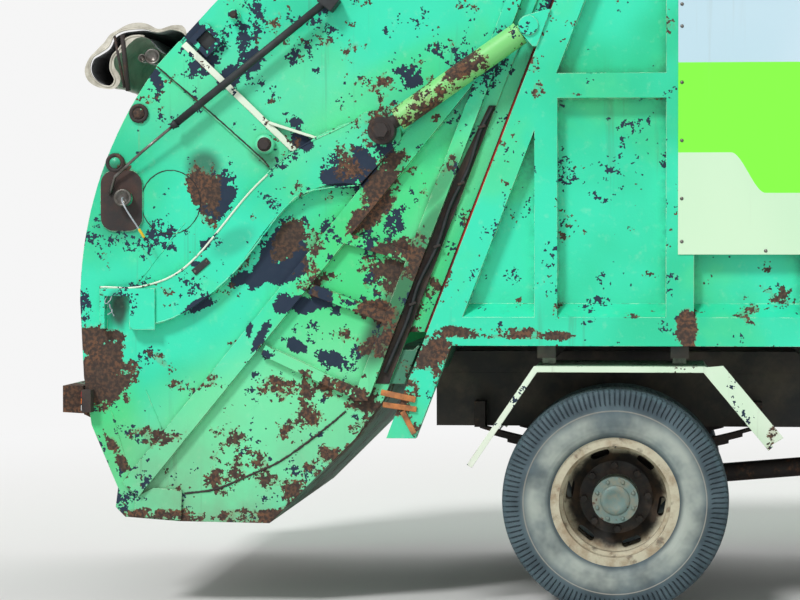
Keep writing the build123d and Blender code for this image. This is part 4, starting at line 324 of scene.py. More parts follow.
RUST_SPOTS = (
    (-1815, 1830, 80, 120, 30, 0.74), (-2205, 1840, 90, 150, 0, 0.4), (-1462, 1640, 50, 120, -40, 1.0),
    (-1050, 1850, 60, 300, -28, 0.72), (-980, 1560, 150, 90, 0, 0.75), (-1060, 1330, 110, 60, -15, 0.72),
    (-880, 1250, 90, 120, 20, 0.6), (-1020, 1180, 90, 60, 0, 0.6), (-905, 1980, 40, 300, -30, 0.6),
    (-2300, 1040, 110, 150, 0, 0.95), (-2330, 1190, 70, 90, 0, 0.85), (-2240, 1180, 90, 70, 0, 0.8),
    (-2180, 1010, 60, 120, 0, 0.55), (-2225, 700, 26, 130, 15, 0.8), (-2120, 760, 120, 60, 0, 0.42),
    (-2121, 2211, 42, 42, 0, 0.8), (-1400, 520, 240, 70, 45, 0.62), (-1300, 640, 120, 80, 40, 0.55),
    (-1560, 420, 300, 40, 0, 0.7), (-1960, 420, 260, 40, 0, 0.55), (-1500, 900, 400, 160, 30, 0.30),
    (-1180, 960, 120, 80, -30, 0.72), (-1900, 1000, 90, 30, 0, 0.35), (-1700, 560, 260, 60, 10, 0.42),
    (-540, 1250, 260, 34, -4, 0.82), (-300, 1235, 150, 26, -4, 0.7), (-800, 1120, 120, 130, 0, 0.6),
    (-760, 1480, 60, 60, 0, 0.45), (312, 1252, 50, 90, 0, 0.8), (-250, 1330, 26, 60, 0, 0.7),
    (-420, 1560, 16, 40, 0, 0.7), (-160, 2280, 36, 12, -10, 0.8), (-330, 2290, 30, 60, 0, 0.55),
    (-905, 990, 60, 160, -20, 0.5), (-2100, 2270, 50, 60, 0, 0.5), (-1060, 2320, 400, 20, 35, 0.4),
)
YELLOWED = (
    (-1050, 1500, 420, 620, -25, 0.7), (-2260, 760, 160, 260, 0, 0.6), (-800, 1700, 130, 600, -22, 0.45),
    (-2000, 2360, 240, 160, 0, 0.25), (-1000, 2330, 500, 90, 35, 0.4),
)
# Dark spots: the four that run along the joint with the body, behind its proud edge, are a painted shadow of
# that edge; the rest darken the paint.
DARK_SPOTS_AND_SHADOW = (
    (-1830, 1972, 70, 80, 0, 0.75), (-1690, 1640, 90, 60, 30, 0.3), (-2190, 1700, 120, 60, 0, 0.35),
    (-2216, 1337, 46, 66, 0, 0.9), (-1560, 2010, 60, 40, -30, 0.5), (-2230, 1950, 50, 60, 0, 0.6),
    (-1020, 1240, 90, 150, -30, 0.85), (-930, 1440, 70, 150, -30, 0.75), (-830, 1680, 44, 170, -30, 0.6),
    (-760, 1900, 34, 150, -30, 0.5),
)
STREAKS = ((-2158, 2110, 6, 80, 0, 0.6), (-2122, 2100, 8, 95, 0, 0.6), (-2100, 1600, 7, 120, 40, 0.45))
PALED = (
    (-1600, 760, 620, 420, 30, 0.85), (-1560, 2230, 500, 300, 0, 0.35), (-100, 1900, 150, 700, 0, 0.3),
    (-700, 1900, 90, 800, -21, 0.4),
)


def on_right(table, y=RIGHT):
    return [(*spot, y) for spot in table]


def on_left(table, y=RIGHT):
    """The right side's spots moved along for the left side, as real wear isn't mirrored."""
    return [(x + 70 - 90 * (index % 3), z - 60 + 55 * (index % 4), wide, high, -turn, strength, -y)
            for index, (x, z, wide, high, turn, strength) in enumerate(table)]


GREENS = (TURQUOISE, TURQUOISE_DEEP, (84, 222, 150))
INSIDE = ((70, 150, 118), (76, 84, 76), (104, 92, 76))
BODY_SIDE = -1165.0
BODY_RUST = [spot for spot in RUST_SPOTS if spot[0] > -1000]
SILL_RUST = [(x, z, wide, high, 0, 1.0, y) for y in (-1040, 1040)
             for x, z, wide, high in ((-2420, 930, 130, 90), (-2400, 1000, 80, 60))]
gate_right = worn_paint_with_painted_light("gate_right", GREENS, on_right(PRIMER_SPOTS), on_right(RUST_SPOTS),
                        ((LEAF_GREEN, on_right(YELLOWED)), (PALE_GREEN, on_right(PALED)),
                         (SOOT_AND_SHADE, on_right(DARK_SPOTS_AND_SHADOW)), (OLIVE, on_right(STREAKS))), 0.26, 0.18)
gate_left = worn_paint_with_painted_light("gate_left", GREENS, on_left(PRIMER_SPOTS), on_left(RUST_SPOTS),
                       ((LEAF_GREEN, on_left(YELLOWED)), (PALE_GREEN, on_left(PALED))), 0.26, 0.18)
gate_back = worn_paint_with_painted_light("gate_back", GREENS, chips=0.3, rusting=0.4)
body_right = worn_paint_with_painted_light("body_right", GREENS, rust=on_right(BODY_RUST, BODY_SIDE), chips=0.06, gloss=0.34)
body_left = worn_paint_with_painted_light("body_left", GREENS, rust=on_left(BODY_RUST, BODY_SIDE), chips=0.06, gloss=0.34)
body_ends = worn_paint_with_painted_light("body_ends", GREENS, gloss=0.34)
inner_paint = worn_paint_with_painted_light("inner_paint", INSIDE, chips=0.3, rusting=0.55, gloss=0.6)
tub_paint = worn_paint_with_painted_light("tub_paint", INSIDE, rust=SILL_RUST, chips=0.3, rusting=0.62, gloss=0.6)
cab_paint = worn_paint_with_painted_light("cab_paint", GREENS, chips=0.03, rusting=0.03, gloss=0.26, low_dirt=0.35)
cylinder_paint = worn_paint_with_painted_light("cylinder_paint", ((128, 214, 124), (88, 190, 96), (176, 216, 140)),
                            chips=0.25, rusting=0.75, gloss=0.45)
guard_paint = worn_paint_with_painted_light("guard_paint", ((236, 246, 228), (206, 234, 204), (240, 240, 226)),
                         chips=0.1, rusting=0.22, gloss=0.5)
rust_steel = rusty_steel()
chassis_black = plain("chassis_black", (46, 46, 47), (72, 66, 60), 0.65, 5.0, bump=0.2, dirt=0.4)
engine_iron = plain("engine_iron", (70, 70, 70), (48, 44, 42), 0.6, 7.0, 0.2, bump=0.3, dirt=0.3)
tank_grey = plain("tank_grey", (66, 68, 70), (88, 84, 78), 0.5, 5.0, bump=0.1, dirt=0.35)
bumper_grey = plain("bumper_grey", (196, 200, 198), (170, 174, 172), 0.45, 4.0, bump=0.08, dirt=0.3)
dark_plastic = plain("dark_plastic", (38, 39, 41), (52, 52, 54), 0.55, bump=0.3, grain=500.0)
seal_rubber = plain("seal_rubber", (196, 44, 28), (44, 30, 28), 0.6, 1.6, bump=0.1)
black_rubber = plain("black_rubber", (26, 30, 32), (44, 48, 50), 0.6, 20.0, bump=0.2)
steel = plain("steel", (120, 118, 114), (90, 84, 78), 0.35, metallic=0.9, bump=0.2)
dark_patch = plain("dark_patch", (40, 36, 36), (74, 54, 48), 0.75, 9.0, bump=0.5, dirt=0.2)
seat_cloth = plain("seat_cloth", (66, 70, 80), (54, 56, 64), 0.9, 60.0, bump=0.6, grain=700.0)
hem_cloth = plain("hem_cloth", (222, 218, 204), (178, 174, 160), 0.9, 14.0, bump=0.4, grain=400.0, dirt=0.3)
red_lens = plain("red_lens", (150, 22, 18), (120, 16, 14), 0.25, bump=0.2, grain=300.0)
amber_lens = plain("amber_lens", (226, 120, 24), (206, 100, 18), 0.25, bump=0.2, grain=300.0)
white_lens = plain("white_lens", (228, 230, 228), (205, 208, 206), 0.2, bump=0.15, grain=300.0)
orange_metal = plain("orange_metal", (206, 130, 70), (120, 76, 50), 0.6, 14.0, bump=0.4, dirt=0.5)
yellow_sleeve = plain("yellow_sleeve", (236, 200, 40), (214, 170, 30), 0.45, bump=0.1)
grey_wire = plain("grey_wire", (190, 196, 204), (150, 156, 164), 0.4, bump=0.1)
mirror_glass = plain("mirror_glass", (200, 206, 210), (190, 196, 200), 0.08, 3.0, 1.0)
window_glass = glass("window_glass", (190, 210, 208))
lamp_glass = glass("lamp_glass", (235, 238, 240))

# Where the sign's blue starts, and where the lime's lower edge bends: from X, to X, height before and after
SIGN_BLUE_FROM = 2.414
SIGN_BEND = (0.50, 0.65, 2.025, 1.850)
HUB_CAP_R = 0.1035


def sign_finish():
    """A sheet with a light blue band over a lime band over pale green, with a soft bend in the lower edge."""
    f = Finish("sign_face")
    up = f.axis(2)
    bend = f.step(f.plus(f.axis(0), -AXLE_X), *SIGN_BEND)
    fade = f.spots(0.35, 0.7, 0.9, 2.0)
    colour = f.mix((212, 242, 208), (200, 236, 200), fade)
    colour = f.mix(colour, (132, 250, 62), f.math("GREATER_THAN", up, bend))
    blue = f.mix((190, 220, 232), (204, 226, 238), fade)
    colour = f.mix(colour, blue, f.math("GREATER_THAN", up, SIGN_BLUE_FROM))
    darkening = f.spots(0.6, 0.85, 1.0, 4.0, 0.6, place=f.stretched((18.0, 18.0, 1.0)))
    colour = f.mix(colour, (150, 150, 130), darkening, 0.2)
    return f.done(colour, 0.42, f.bump(f.noise(1.6, 2.0), 0.25, 0.004, f.rounded(0.002)))


def radius_from_axles(f):
    """Distance from the nearer axle's line, in metres."""
    z = f.plus(f.axis(2), -AXLE_Z)
    rear, front = (f.math("ABSOLUTE", f.plus(f.axis(0), -x)) for x in (AXLE_X, FRONT_AXLE_X))
    near = f.math("MINIMUM", rear, front)
    return f.math("POWER", f.plus(f.times(near, near), f.times(z, z)), 0.5)


def tyre_finish():
    """Grey-blue rubber, dusty beige on the sidewall and cleaner on the tread, with painted shade in the
    grooves and tight corners.
    """
    f = Finish("tyre_rubber")
    radius = radius_from_axles(f)
    wall = f.times(f.step(radius, 0.42, 0.36), f.step(radius, 0.28, 0.31))
    colour = f.mix((52, 68, 76), (76, 94, 102), f.spots(0.35, 0.65, 6.0, 4.0))
    dusty = f.plus(f.times(f.spots(0.34, 0.66, 3.4, 4.0, 0.6), 0.8), 0.15)
    colour = f.mix(colour, (184, 192, 182), f.times(wall, dusty), 0.8)
    ring = f.times(f.step(radius, 0.397, 0.400), f.step(radius, 0.405, 0.402))
    colour = f.mix(colour, (176, 170, 158), ring, 0.5)
    tread = f.step(radius, 0.455, 0.485)
    colour = f.mix(colour, (72, 94, 102), f.times(tread, f.spots(0.4, 0.7, 20.0)))
    # Painted shade: near black where faces close in, in the grooves and between the tread's blocks.
    colour = f.mix((22, 28, 34), colour, f.hollows(0.02, 0.35, 0.85))
    return f.done(colour, 0.72, f.bump(f.noise(70.0, 4.0), 0.25, 0.001))


def rim_finish():
    """Beige rim, dark greasy dish and a grey-blue hub cap."""
    f = Finish("rim_paint")
    radius = radius_from_axles(f)
    wobble = f.plus(radius, f.times(f.plus(f.noise(14.0, 4.0, 0.65), -0.5), 0.05))
    beige = f.mix((196, 190, 166), (160, 142, 116), f.spots(0.4, 0.7, 9.0, 5.0, 0.7))
    beige = f.mix(beige, rust_colour(f), f.spots(0.55, 0.7, 16.0, 4.0), 0.7)
    dark = f.mix((32, 30, 28), (74, 58, 44), f.spots(0.42, 0.7, 11.0, 4.0, 0.6))
    cap = f.mix((104, 128, 124), (132, 132, 116), f.spots(0.4, 0.68, 18.0, 5.0, 0.65))
    cap = f.mix(cap, RUST_MID, f.spots(0.62, 0.7, 30.0, 4.0))
    colour = f.mix(dark, beige, f.step(wobble, 0.195, 0.235))
    colour = f.mix(colour, cap, f.math("LESS_THAN", radius, HUB_CAP_R))
    rough = f.plus(f.times(f.noise(20.0), 0.3), 0.4)
    return f.done(colour, rough, f.bump(f.noise(60.0, 4.0), 0.35, 0.001, f.rounded(0.003)), {"Metallic": 0.1})


def canvas_finish():
    """Dirty off-white woven canvas, with its back painted dark blue-grey as painted shade for the inside of
    the roll.
    """
    f = Finish("canvas_cloth")
    threads = {"Vector": f.place, "Scale": 260.0}
    waves = [f.node("TexWave", threads, wave_type="BANDS", bands_direction=way) for way in "YZ"]
    weave = f.times(waves[0].outputs[1], waves[1].outputs[1])
    colour = f.mix((214, 210, 196), (168, 166, 154), f.spots(0.4, 0.7, 6.0, 5.0, 0.65))
    colour = f.mix(colour, (120, 112, 92), f.spots(0.5, 0.75, 2.2, 4.0), 0.7)
    # Painted shade: the back of the sheet, seen inside the roll, is dark blue-grey.
    colour = f.mix(colour, (44, 56, 70), f.node("NewGeometry").outputs["Backfacing"], 0.85)
    return f.done(colour, 0.9, f.bump(weave, 0.3, 0.0008), {"Sheen Weight": 0.2})


sign_face = sign_finish()
tyre_rubber = tyre_finish()
rim_paint = rim_finish()
canvas_cloth = canvas_finish()


# Mesh building
OUT = (0, -1, 0)
# An end of a turned shape with a smaller radius is a point and needs no face
POINTED = 0.01


def new_object(name, data):
    """A new object in the scene."""
    made = bpy.data.objects.new(name, data)
    bpy.context.scene.collection.objects.link(made)
    return made


def ring(centre, side, up, radius, count):
    """Points round a centre."""
    turns = [math.tau * step / count for step in range(count)]
    return [centre + side * (radius * math.cos(turn)) + up * (radius * math.sin(turn)) for turn in turns]


def grid_faces(rows, columns, wrap_rows=False, wrap_columns=True):
    """The faces between the points of neighbouring rows."""
    return [(row * columns + column, row * columns + (column + 1) % columns,
             (row + 1) % rows * columns + (column + 1) % columns, (row + 1) % rows * columns + column)
            for row in range(rows if wrap_rows else rows - 1)
            for column in range(columns if wrap_columns else columns - 1)]


def ease(mesh, chamfer, segments=2):
    """Eases all edges of a bmesh."""
    edges = list(mesh.edges)
    bmesh.ops.bevel(mesh, geom=edges, offset=chamfer, segments=segments, profile=0.5, affect="EDGES")


class Batch:
    """Small shapes of one body, gathered into one object. Points are in the tables' millimetres."""

    def __init__(self, name, body, slot=None, mirrored=False):
        self.name, self.body, self.slot, self.mirrored = name, body, slot, mirrored
        self.points, self.faces, self.finishes, self.smooth, self.materials = [], [], [], [], []

    def add(self, points, faces, material, smooth=False):
        """Faces over new points, and again on the other side while the batch is mirrored."""
        if material not in self.materials:
            self.materials.append(material)
        index = self.materials.index(material)
        for sign in ((1, -1) if self.mirrored else (1,)):
            start = len(self.points)
            self.points += [at(x, sign * y, z) for x, y, z in points]
            for face in faces:
                face = tuple(start + corner for corner in face)
                self.faces.append(face if sign > 0 else face[::-1])
                self.finishes.append(index)
                self.smooth.append(smooth)

    def tube(self, path, radius, material, sides=10, closed=False):
        """A round tube along a path, with one radius or one for each point."""
        path = [Vector(p) for p in path]
        count = len(path)
        points = []
        side = None
        for index, here in enumerate(path):
            ahead = path[(index + 1) % count] if closed or index + 1 < count else here
            behind = path[index - 1] if closed or index else here
            along = (ahead - behind).normalized()
            if side is None:
                side = along.orthogonal().normalized()
            side = (side - along * side.dot(along)).normalized()
            size = radius[index] if isinstance(radius, (list, tuple)) else radius
            points += ring(here, side, along.cross(side), size, sides)
        faces = grid_faces(count, sides, closed)
        if not closed:
            faces += [tuple(range(sides))[::-1], tuple(range((count - 1) * sides, count * sides))]
        self.add(points, faces, material, True)

    def lathe(self, centre, axis, profile, material, segments=32, smooth=True):
        """A turned shape: profile holds (radius, distance along the axis) from one end to the other."""
        axis = Vector(axis).normalized()
        side = Vector((1, 0, 0)) if abs(axis.y) > 0.9 else axis.orthogonal().normalized()
        up = axis.cross(side)
        points = []
        for radius, along in profile:
            points += ring(Vector(centre) + axis * along, side, up, radius, segments)
        faces = grid_faces(len(profile), segments)
        if profile[0][0] > POINTED:
            faces.append(tuple(range(segments))[::-1])
        if profile[-1][0] > POINTED:
            faces.append(tuple(range(len(points) - segments, len(points))))
        self.add(points, faces, material, smooth)

    def shape(self, mesh, material):
        """A finished bmesh, in millimetres."""
        mesh.verts.index_update()
        faces = [tuple(v.index for v in face.verts) for face in mesh.faces]
        self.add([tuple(v.co) for v in mesh.verts], faces, material)
        mesh.free()

    def plate(self, corners, y_range, material, chamfer):
        """A flat plate cut to an outline in X and Z, between two values of Y, with eased edges."""
        low, high = min(y_range), max(y_range)
        mesh = bmesh.new()
        face = mesh.faces.new([mesh.verts.new((x, low, z)) for x, z in corners])
        for item in bmesh.ops.extrude_face_region(mesh, geom=[face])["geom"]:
            if isinstance(item, bmesh.types.BMVert):
                item.co.y = high
        bmesh.ops.recalc_face_normals(mesh, faces=mesh.faces)
        ease(mesh, chamfer)
        self.shape(mesh, material)

    def block(self, centre, size, material, chamfer, turn=0.0):
        """A box with eased edges, turned about Y through its centre."""
        mesh = bmesh.new()
        bmesh.ops.create_cube(mesh, size=1.0)
        bmesh.ops.scale(mesh, vec=size, verts=mesh.verts)
        ease(mesh, chamfer)
        lean = Matrix.Rotation(math.radians(turn), 3, "Y")
        bmesh.ops.rotate(mesh, cent=(0, 0, 0), matrix=lean, verts=mesh.verts)
        bmesh.ops.translate(mesh, vec=centre, verts=mesh.verts)
        self.shape(mesh, material)

    def bolt(self, centre, axis, across, height, material):
        """A hexagon head on a washer, standing along the axis."""
        radius = across / 2 / math.cos(math.pi / 6)
        self.lathe(centre, axis, [(radius * 1.25, 0), (radius * 1.25, height * 0.15)], material, 20)
        self.lathe(centre, axis, [(radius, height * 0.15), (radius, height * 0.9), (radius * 0.88, height)],
                   material, 6, False)

    def weld(self, path, width, material, y, seed):
        """An uneven bead along a path in X and Z, lying on a face at y."""
        chance = random.Random(seed)
        fine = []
        for (x0, z0), (x1, z1) in zip(path, path[1:]):
            count = max(2, int(math.hypot(x1 - x0, z1 - z0) / 14))
            for step in range(count):
                share = step / count
                fine.append((x0 + (x1 - x0) * share, y, z0 + (z1 - z0) * share))
        fine.append((path[-1][0], y, path[-1][1]))
        fine = [(x + chance.uniform(-0.8, 0.8), yy, z + chance.uniform(-0.8, 0.8)) for x, yy, z in fine]
        sizes = [width / 2 * chance.uniform(0.75, 1.2) for _ in fine]
        self.tube(fine, sizes, material, 6)

    def done(self, replaced=()):
        """The finished object, riding on its body."""
        mesh = bpy.data.meshes.new(self.name)
        mesh.from_pydata(self.points, [], self.faces)
        for material in self.materials:
            mesh.materials.append(material)
        mesh.polygons.foreach_set("material_index", self.finishes)
        mesh.polygons.foreach_set("use_smooth", self.smooth)
        mesh.update()
        made = new_object(self.name, mesh)
        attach(made, self.body)
        if replaced:
            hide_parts(*replaced)
        return made


def finish_node(name, material):
    """Gives a CAD node its finish."""
    data = NODES[name].data
    if data.materials:
        data.materials[0] = material
    else:
        data.materials.append(material)


NODE_FINISHES = {
    gate_right: ("tailgate_side_right",),
    gate_left: ("tailgate_side_left",),
    gate_back: ("tailgate_skin",),
    tub_paint: ("hopper_tub",),
    inner_paint: ("carriage", "packer_blade", "ejector_panel", "container_floor"),
    body_right: ("container_side_right",),
    body_left: ("container_side_left",),
    body_ends: ("container_roof", "container_front"),
    cab_paint: ("cab_shell", "door_left", "door_right"),
    cylinder_paint: ("lift_barrels",),
    rust_steel: ("lift_rods", "rear_springs", "front_springs", "rear_axle", "front_axle", "exhaust",
                 "knuckle_left", "knuckle_right"),
    guard_paint: ("rear_mudguards", "front_mudguards"),
    chassis_black: ("chassis_rails", "cross_members", "subframe", "side_guards", "cab_mounts"),
    engine_iron: ("engine_block",),
    tank_grey: ("side_tanks",),
    bumper_grey: ("front_bumper",),
    dark_plastic: ("dashboard", "grille", "mirrors"),
    seal_rubber: ("tailgate_seal",),
    seat_cloth: ("cab_seats",),
    window_glass: ("cab_glass", "door_glass_left", "door_glass_right"),
    lamp_glass: ("headlamps",),
    dark_patch: ("rear_lamps",),
    sign_face: ("sign_panels",),
    rim_paint: ("front_rim_left", "front_rim_right", "rear_rims_left", "rear_rims_right"),
}
for material, names in NODE_FINISHES.items():
    for name in names:
        finish_node(name, material)


# Tyres
TYRE_R = 500.0
BEAD_R = 252.0
TREAD_HALF = 96.0
PITCHES = 128
COLUMNS = 4
GROOVE_DEPTH = 11.0
FRONT_WHEEL_X = (FRONT_AXLE_X - AXLE_X) * 1000
AXLE_UP = AXLE_Z * 1000
TREAD_ROWS = ((0, "rib"), (9, "rib"), (11, "groove"), (17, "groove"), (19, "rib"), (44, "rib"),
              (46, "groove"), (53, "groove"), (55, "rib"), (70, "rib"), (84, "shoulder"), (96, "shoulder"))
LUG_ROWS = ((478, 106), (464, 112), (448, 116), (434, 119))
WALL_ROWS = ((420, 121.5), (406, 124), (402, 125.6), (399, 124.4), (384, 125.6), (362, 126.6), (340, 126.2),
             (322, 123.6), (306, 118), (294, 110), (288, 100), (280, 92), (262, 88), (BEAD_R, 86))


def tyre_profile():
    """Half of the tyre's section from the tread's middle to the bead: radius, offset and kind of surface."""
    rows = [(TYRE_R - 10 * (offset / TREAD_HALF) ** 2.4, offset, kind) for offset, kind in TREAD_ROWS]
    rows += [(radius, offset, "lug") for radius, offset in LUG_ROWS]
    return rows + [(radius, offset, "wall") for radius, offset in WALL_ROWS]


def add_tyre(batch, x_centre, y_centre, phase=0.0):
    """A tyre with circumferential grooves and notched shoulders."""
    half = tyre_profile()
    rows = [(r, -o, kind) for r, o, kind in half[::-1]] + half[1:]
    points = []
    steps = PITCHES * COLUMNS
    for step in range(steps):
        angle = 2 * math.pi * (step + phase) / steps
        notch = step % COLUMNS == 0
        zigzag = (1.6, 0.0, -1.6, 0.0)[(step // 2) % 4]
        for radius, offset, kind in rows:
            if kind == "groove":
                radius -= GROOVE_DEPTH
                offset += zigzag
            elif kind == "shoulder" and notch:
                radius -= 6
            elif kind == "lug" and notch:
                radius -= 5
                offset -= math.copysign(5, offset)
            points.append((x_centre + radius * math.cos(angle), y_centre + offset,
                           AXLE_UP + radius * math.sin(angle)))
    batch.add(points, grid_faces(steps, len(rows), True, False), tyre_rubber)


REAR_TYRE_Y = (1036.0, 750.0)
FRONT_TYRE_Y = 975.0
TWIN_PHASE = 1.7
SIDES = (("left", 1), ("right", -1))
for side, sign in SIDES:
    rear = Batch(f"rear_tyres_tread_{side}", f"rear_wheel_{side}", "tyre_rubber")
    for index, y in enumerate(REAR_TYRE_Y):
        add_tyre(rear, 0.0, sign * y, index * TWIN_PHASE)
    rear.done((f"rear_tyres_{side}",))
    front = Batch(f"front_tyre_tread_{side}", f"front_wheel_{side}", "tyre_rubber")
    add_tyre(front, FRONT_WHEEL_X, sign * FRONT_TYRE_Y)
    front.done((f"front_tyre_{side}",))

# Lines and fittings of the tailgate's walls. Lines and outlines are X and Z on one of these faces.
WALL_Y = -1050.0
BAND_Y = -1064.0
ARM_Y = -1100.0
ARM_UPPER = ((-2290, 1438), (-2087, 1444), (-1884, 1545), (-1613, 1861), (-1421, 2036), (-1150, 2172))
ARM_LOWER = ((-1128, 1890), (-1350, 1862), (-1466, 1782), (-1692, 1500), (-1929, 1319), (-2155, 1252))
HOPPER_SEAM = ((-1922, 516), (-1775, 538), (-1607, 609), (-1492, 662), (-1359, 755), (-1258, 834),
               (-1196, 887))
BAND_STRIP = ((-1926, 2508), (-1904, 2528), (-1396, 2040), (-1418, 2022))
BAND_DARK = ((-2034, 2417), (-1827, 2240), (-1588, 2028), (-1535, 1971))
CREASES = (((-1917, 1724), (-2130, 1454)), ((-2099, 989), (-2023, 803)),
           ((-2284, 918), (-2249, 878), (-2178, 631)))
# Round things: X, Z, then a radius or half width, then a height over the wall
LAMP_RING = (-1980, 1816, 134)
LAMP_BOSS = (-2183, 1835)
LAMP_BOSS_PROFILE = ((36, 0), (39, 2), (39, 9), (33, 12), (28, 9), (24, 2), (5, 1), (0, 1))
LAMP_PATCH = (-2200, 1822)
BOSSES = ((-1687, 2644, 22, 48), (-1551, 2070, 40, 44))
RUST_RINGS = ((-2121, 2211), (-2228, 1991))
RUST_RING_PROFILE = ((43, -6), (43, 3), (36, 6), (30, 6), (27, 1), (0, 1))
SOCKET = (-1811, 2533, 64)
POCKET = ((-2290, 1433), (-2040, 1433), (-2040, 1249), (-2137, 1249), (-2155, 1263), (-2155, 1398),
          (-2268, 1398))
HOOK_PLATE = ((-2143, 498), (-2059, 542), (-1930, 533), (-1935, 396), (-2143, 414))
SMALL_GUSSET = ((-1534, 2174), (-1318, 2104), (-1322, 2092), (-1534, 2160))
SLEEVED_ROD = ((-1285, -1112, 2686), (-1940, -1112, 2165))
THIN_ROD = ((-1940, -1112, 2165), (-2100, -1102, 2036), (-2223, -1084, 1929), (-2250, -1066, 1850))
ROD_BLOCK = (-1262, -1090, 2700)
TAG = (-1834, ARM_Y - 3, 1530)
TAG_BOLTS = ((-1860, 1508), (-1808, 1552))
TIE_R = 2.2
WIRE_LINE = ((-2183, -1105, 1835), (-2183, -1135, 1835), (-2172, -1156, 1808), (-2146, -1152, 1762),
             (-2110, -1134, 1704), (-2076, -1120, 1644))
WIRE_DIAMETER = 0.007
# The joint between the body and the tailgate: a point of it in X and Z, and how far X moves for each Z.
# The strip's outline and the hose's line are pairs of a distance behind the joint and Z.
SEAM_FOOT = (-998.6, 780)
SEAM_SLOPE = 0.3861
SEAM_STRIP = ((92, 1010), (92, 2240), (124, 2240), (153, 1900), (153, 1010))
SEAM_HOSE = ((104, 2236), (116, 2120), (106, 1960), (122, 1800), (112, 1620), (130, 1450), (118, 1300),
             (128, 1060))
SEAM_STRIP_THICK = 4
SEAM_HOSE_R = 9
# Width of the pale tube that paints a highlight along the arm's upper edge
ARM_HIGHLIGHT_WIDTH = 9


def rounded_line(points, steps=8):
    """Points along a smooth curve through a few given ones in X and Z."""
    points = [Vector(point) for point in points]
    ends = [points[0] * 2 - points[1], *points, points[-1] * 2 - points[-2]]
    made = []
    # The cubic through b and c whose slopes there follow their neighbours
    for a, b, c, d in zip(ends, ends[1:], ends[2:], ends[3:]):
        for step in range(steps):
            t = step / steps
            made.append(tuple(0.5 * (2 * b + (c - a) * t + (2 * a - 5 * b + 4 * c - d) * t * t
                                     + (3 * b - a - 3 * c + d) * t ** 3)))
    return [*made, tuple(points[-1])]


def lamp_plate():
    """The outline of the dark patch round the lamp's boss."""
    wide, high, corner, inset = 95, 135, 60, 1.5
    points = []
    for start, (side_x, side_z) in enumerate(((1, 1), (-1, 1), (-1, -1), (1, -1))):
        for step in range(7):
            angle = math.radians(90 * start + 15 * step)
            points.append((LAMP_PATCH[0] + side_x * (wide - corner) + (corner - inset) * math.cos(angle),
                           LAMP_PATCH[1] + side_z * (high - corner) + (corner - inset) * math.sin(angle)))
    return points


def gate_details():
    """Weld beads, trims, a painted highlight line along the arm, bosses and brackets on both walls of the
    tailgate.
    """
    batch = Batch("gate_details", "tailgate", "body_green", True)
    for seed, (line, y, width, material) in enumerate((
        (HOPPER_SEAM, WALL_Y, 11, rust_steel), (BAND_DARK, BAND_Y, 8, rust_steel),
        (ARM_UPPER, ARM_Y, 7, gate_right), (ARM_LOWER, ARM_Y, 7, gate_right),
    )):
        batch.weld(rounded_line(line), width, material, y, seed)
    # Painted highlight along the arm's upper edge, where the paint is also worn pale: a thin tube in the pale
    # guard paint.
    rim = [(x, ARM_Y - 1, z) for x, z in rounded_line(ARM_UPPER[:5])[:28]]
    batch.tube(rim, ARM_HIGHLIGHT_WIDTH / 2, guard_paint, 8)
    for seed, line in enumerate(CREASES):
        batch.weld(line, 5, gate_right, WALL_Y, 20 + seed)
    x, z, radius = LAMP_RING
    turns = [math.radians(turn) for turn in range(0, 361, 12)]
    circle = [(x + radius * math.cos(turn), z + radius * 1.06 * math.sin(turn)) for turn in turns]
    batch.weld(circle, 5, rust_steel, WALL_Y, 31)
    batch.plate(POCKET, (ARM_Y, ARM_Y - 12), gate_right, 2)
    batch.plate(HOOK_PLATE, (WALL_Y - 1, WALL_Y - 16), gate_right, 2)
    batch.plate(BAND_STRIP, (BAND_Y - 6, BAND_Y), guard_paint, 1.5)
    batch.plate(lamp_plate(), (WALL_Y - 11.6, WALL_Y - 9), dark_patch, 0.8)
    batch.plate(SMALL_GUSSET, (WALL_Y - 30, WALL_Y), guard_paint, 2)
    x, z = LAMP_BOSS
    batch.lathe((x, WALL_Y - 55, z), OUT, LAMP_BOSS_PROFILE, steel, 36)
    for x, z, radius, high in BOSSES:
        batch.lathe((x, WALL_Y - high, z), OUT, [(radius * 1.12, -8), (radius * 1.12, 0), (radius * 0.7, 1)],
                    gate_right, 28)
        batch.bolt((x, WALL_Y - high - 1, z), OUT, radius * 1.1, 14, rust_steel)
    for x, z in RUST_RINGS:
        batch.lathe((x, WALL_Y - 8, z), OUT, RUST_RING_PROFILE, rust_steel, 32)
        batch.lathe((x, WALL_Y - 9, z), OUT, [(26, 0), (24, 4), (0, 5)], gate_right, 28)
    x, z, half = SOCKET
    batch.block((x, WALL_Y - 6, z), (half, 14, half), black_rubber, 1, 45)
    batch.done()


def seam_x(z):
    """X of the leaning joint between the body and the tailgate at a height."""
    return SEAM_FOOT[0] + SEAM_SLOPE * (z - SEAM_FOOT[1])


def seam_fittings():
    """The dark worn strip along the tailgate's front edge with its clipped black hose, on both sides."""
    batch = Batch("gate_seam_strip", "tailgate", "seal_rubber", True)
    face = WALL_Y - SEAM_STRIP_THICK
    batch.plate([(seam_x(z) - gap, z) for gap, z in SEAM_STRIP], (face, WALL_Y), dark_patch, 1)
    line = rounded_line([(seam_x(z) - gap, z) for gap, z in SEAM_HOSE], 5)
    batch.tube([(x, face - SEAM_HOSE_R, z) for x, z in line], SEAM_HOSE_R, black_rubber, 12)
    for x, z in line[4::8]:
        batch.block((x, face - SEAM_HOSE_R, z), (34, 2 * SEAM_HOSE_R + 6, 12), rust_steel, 2, -20)
    batch.done()


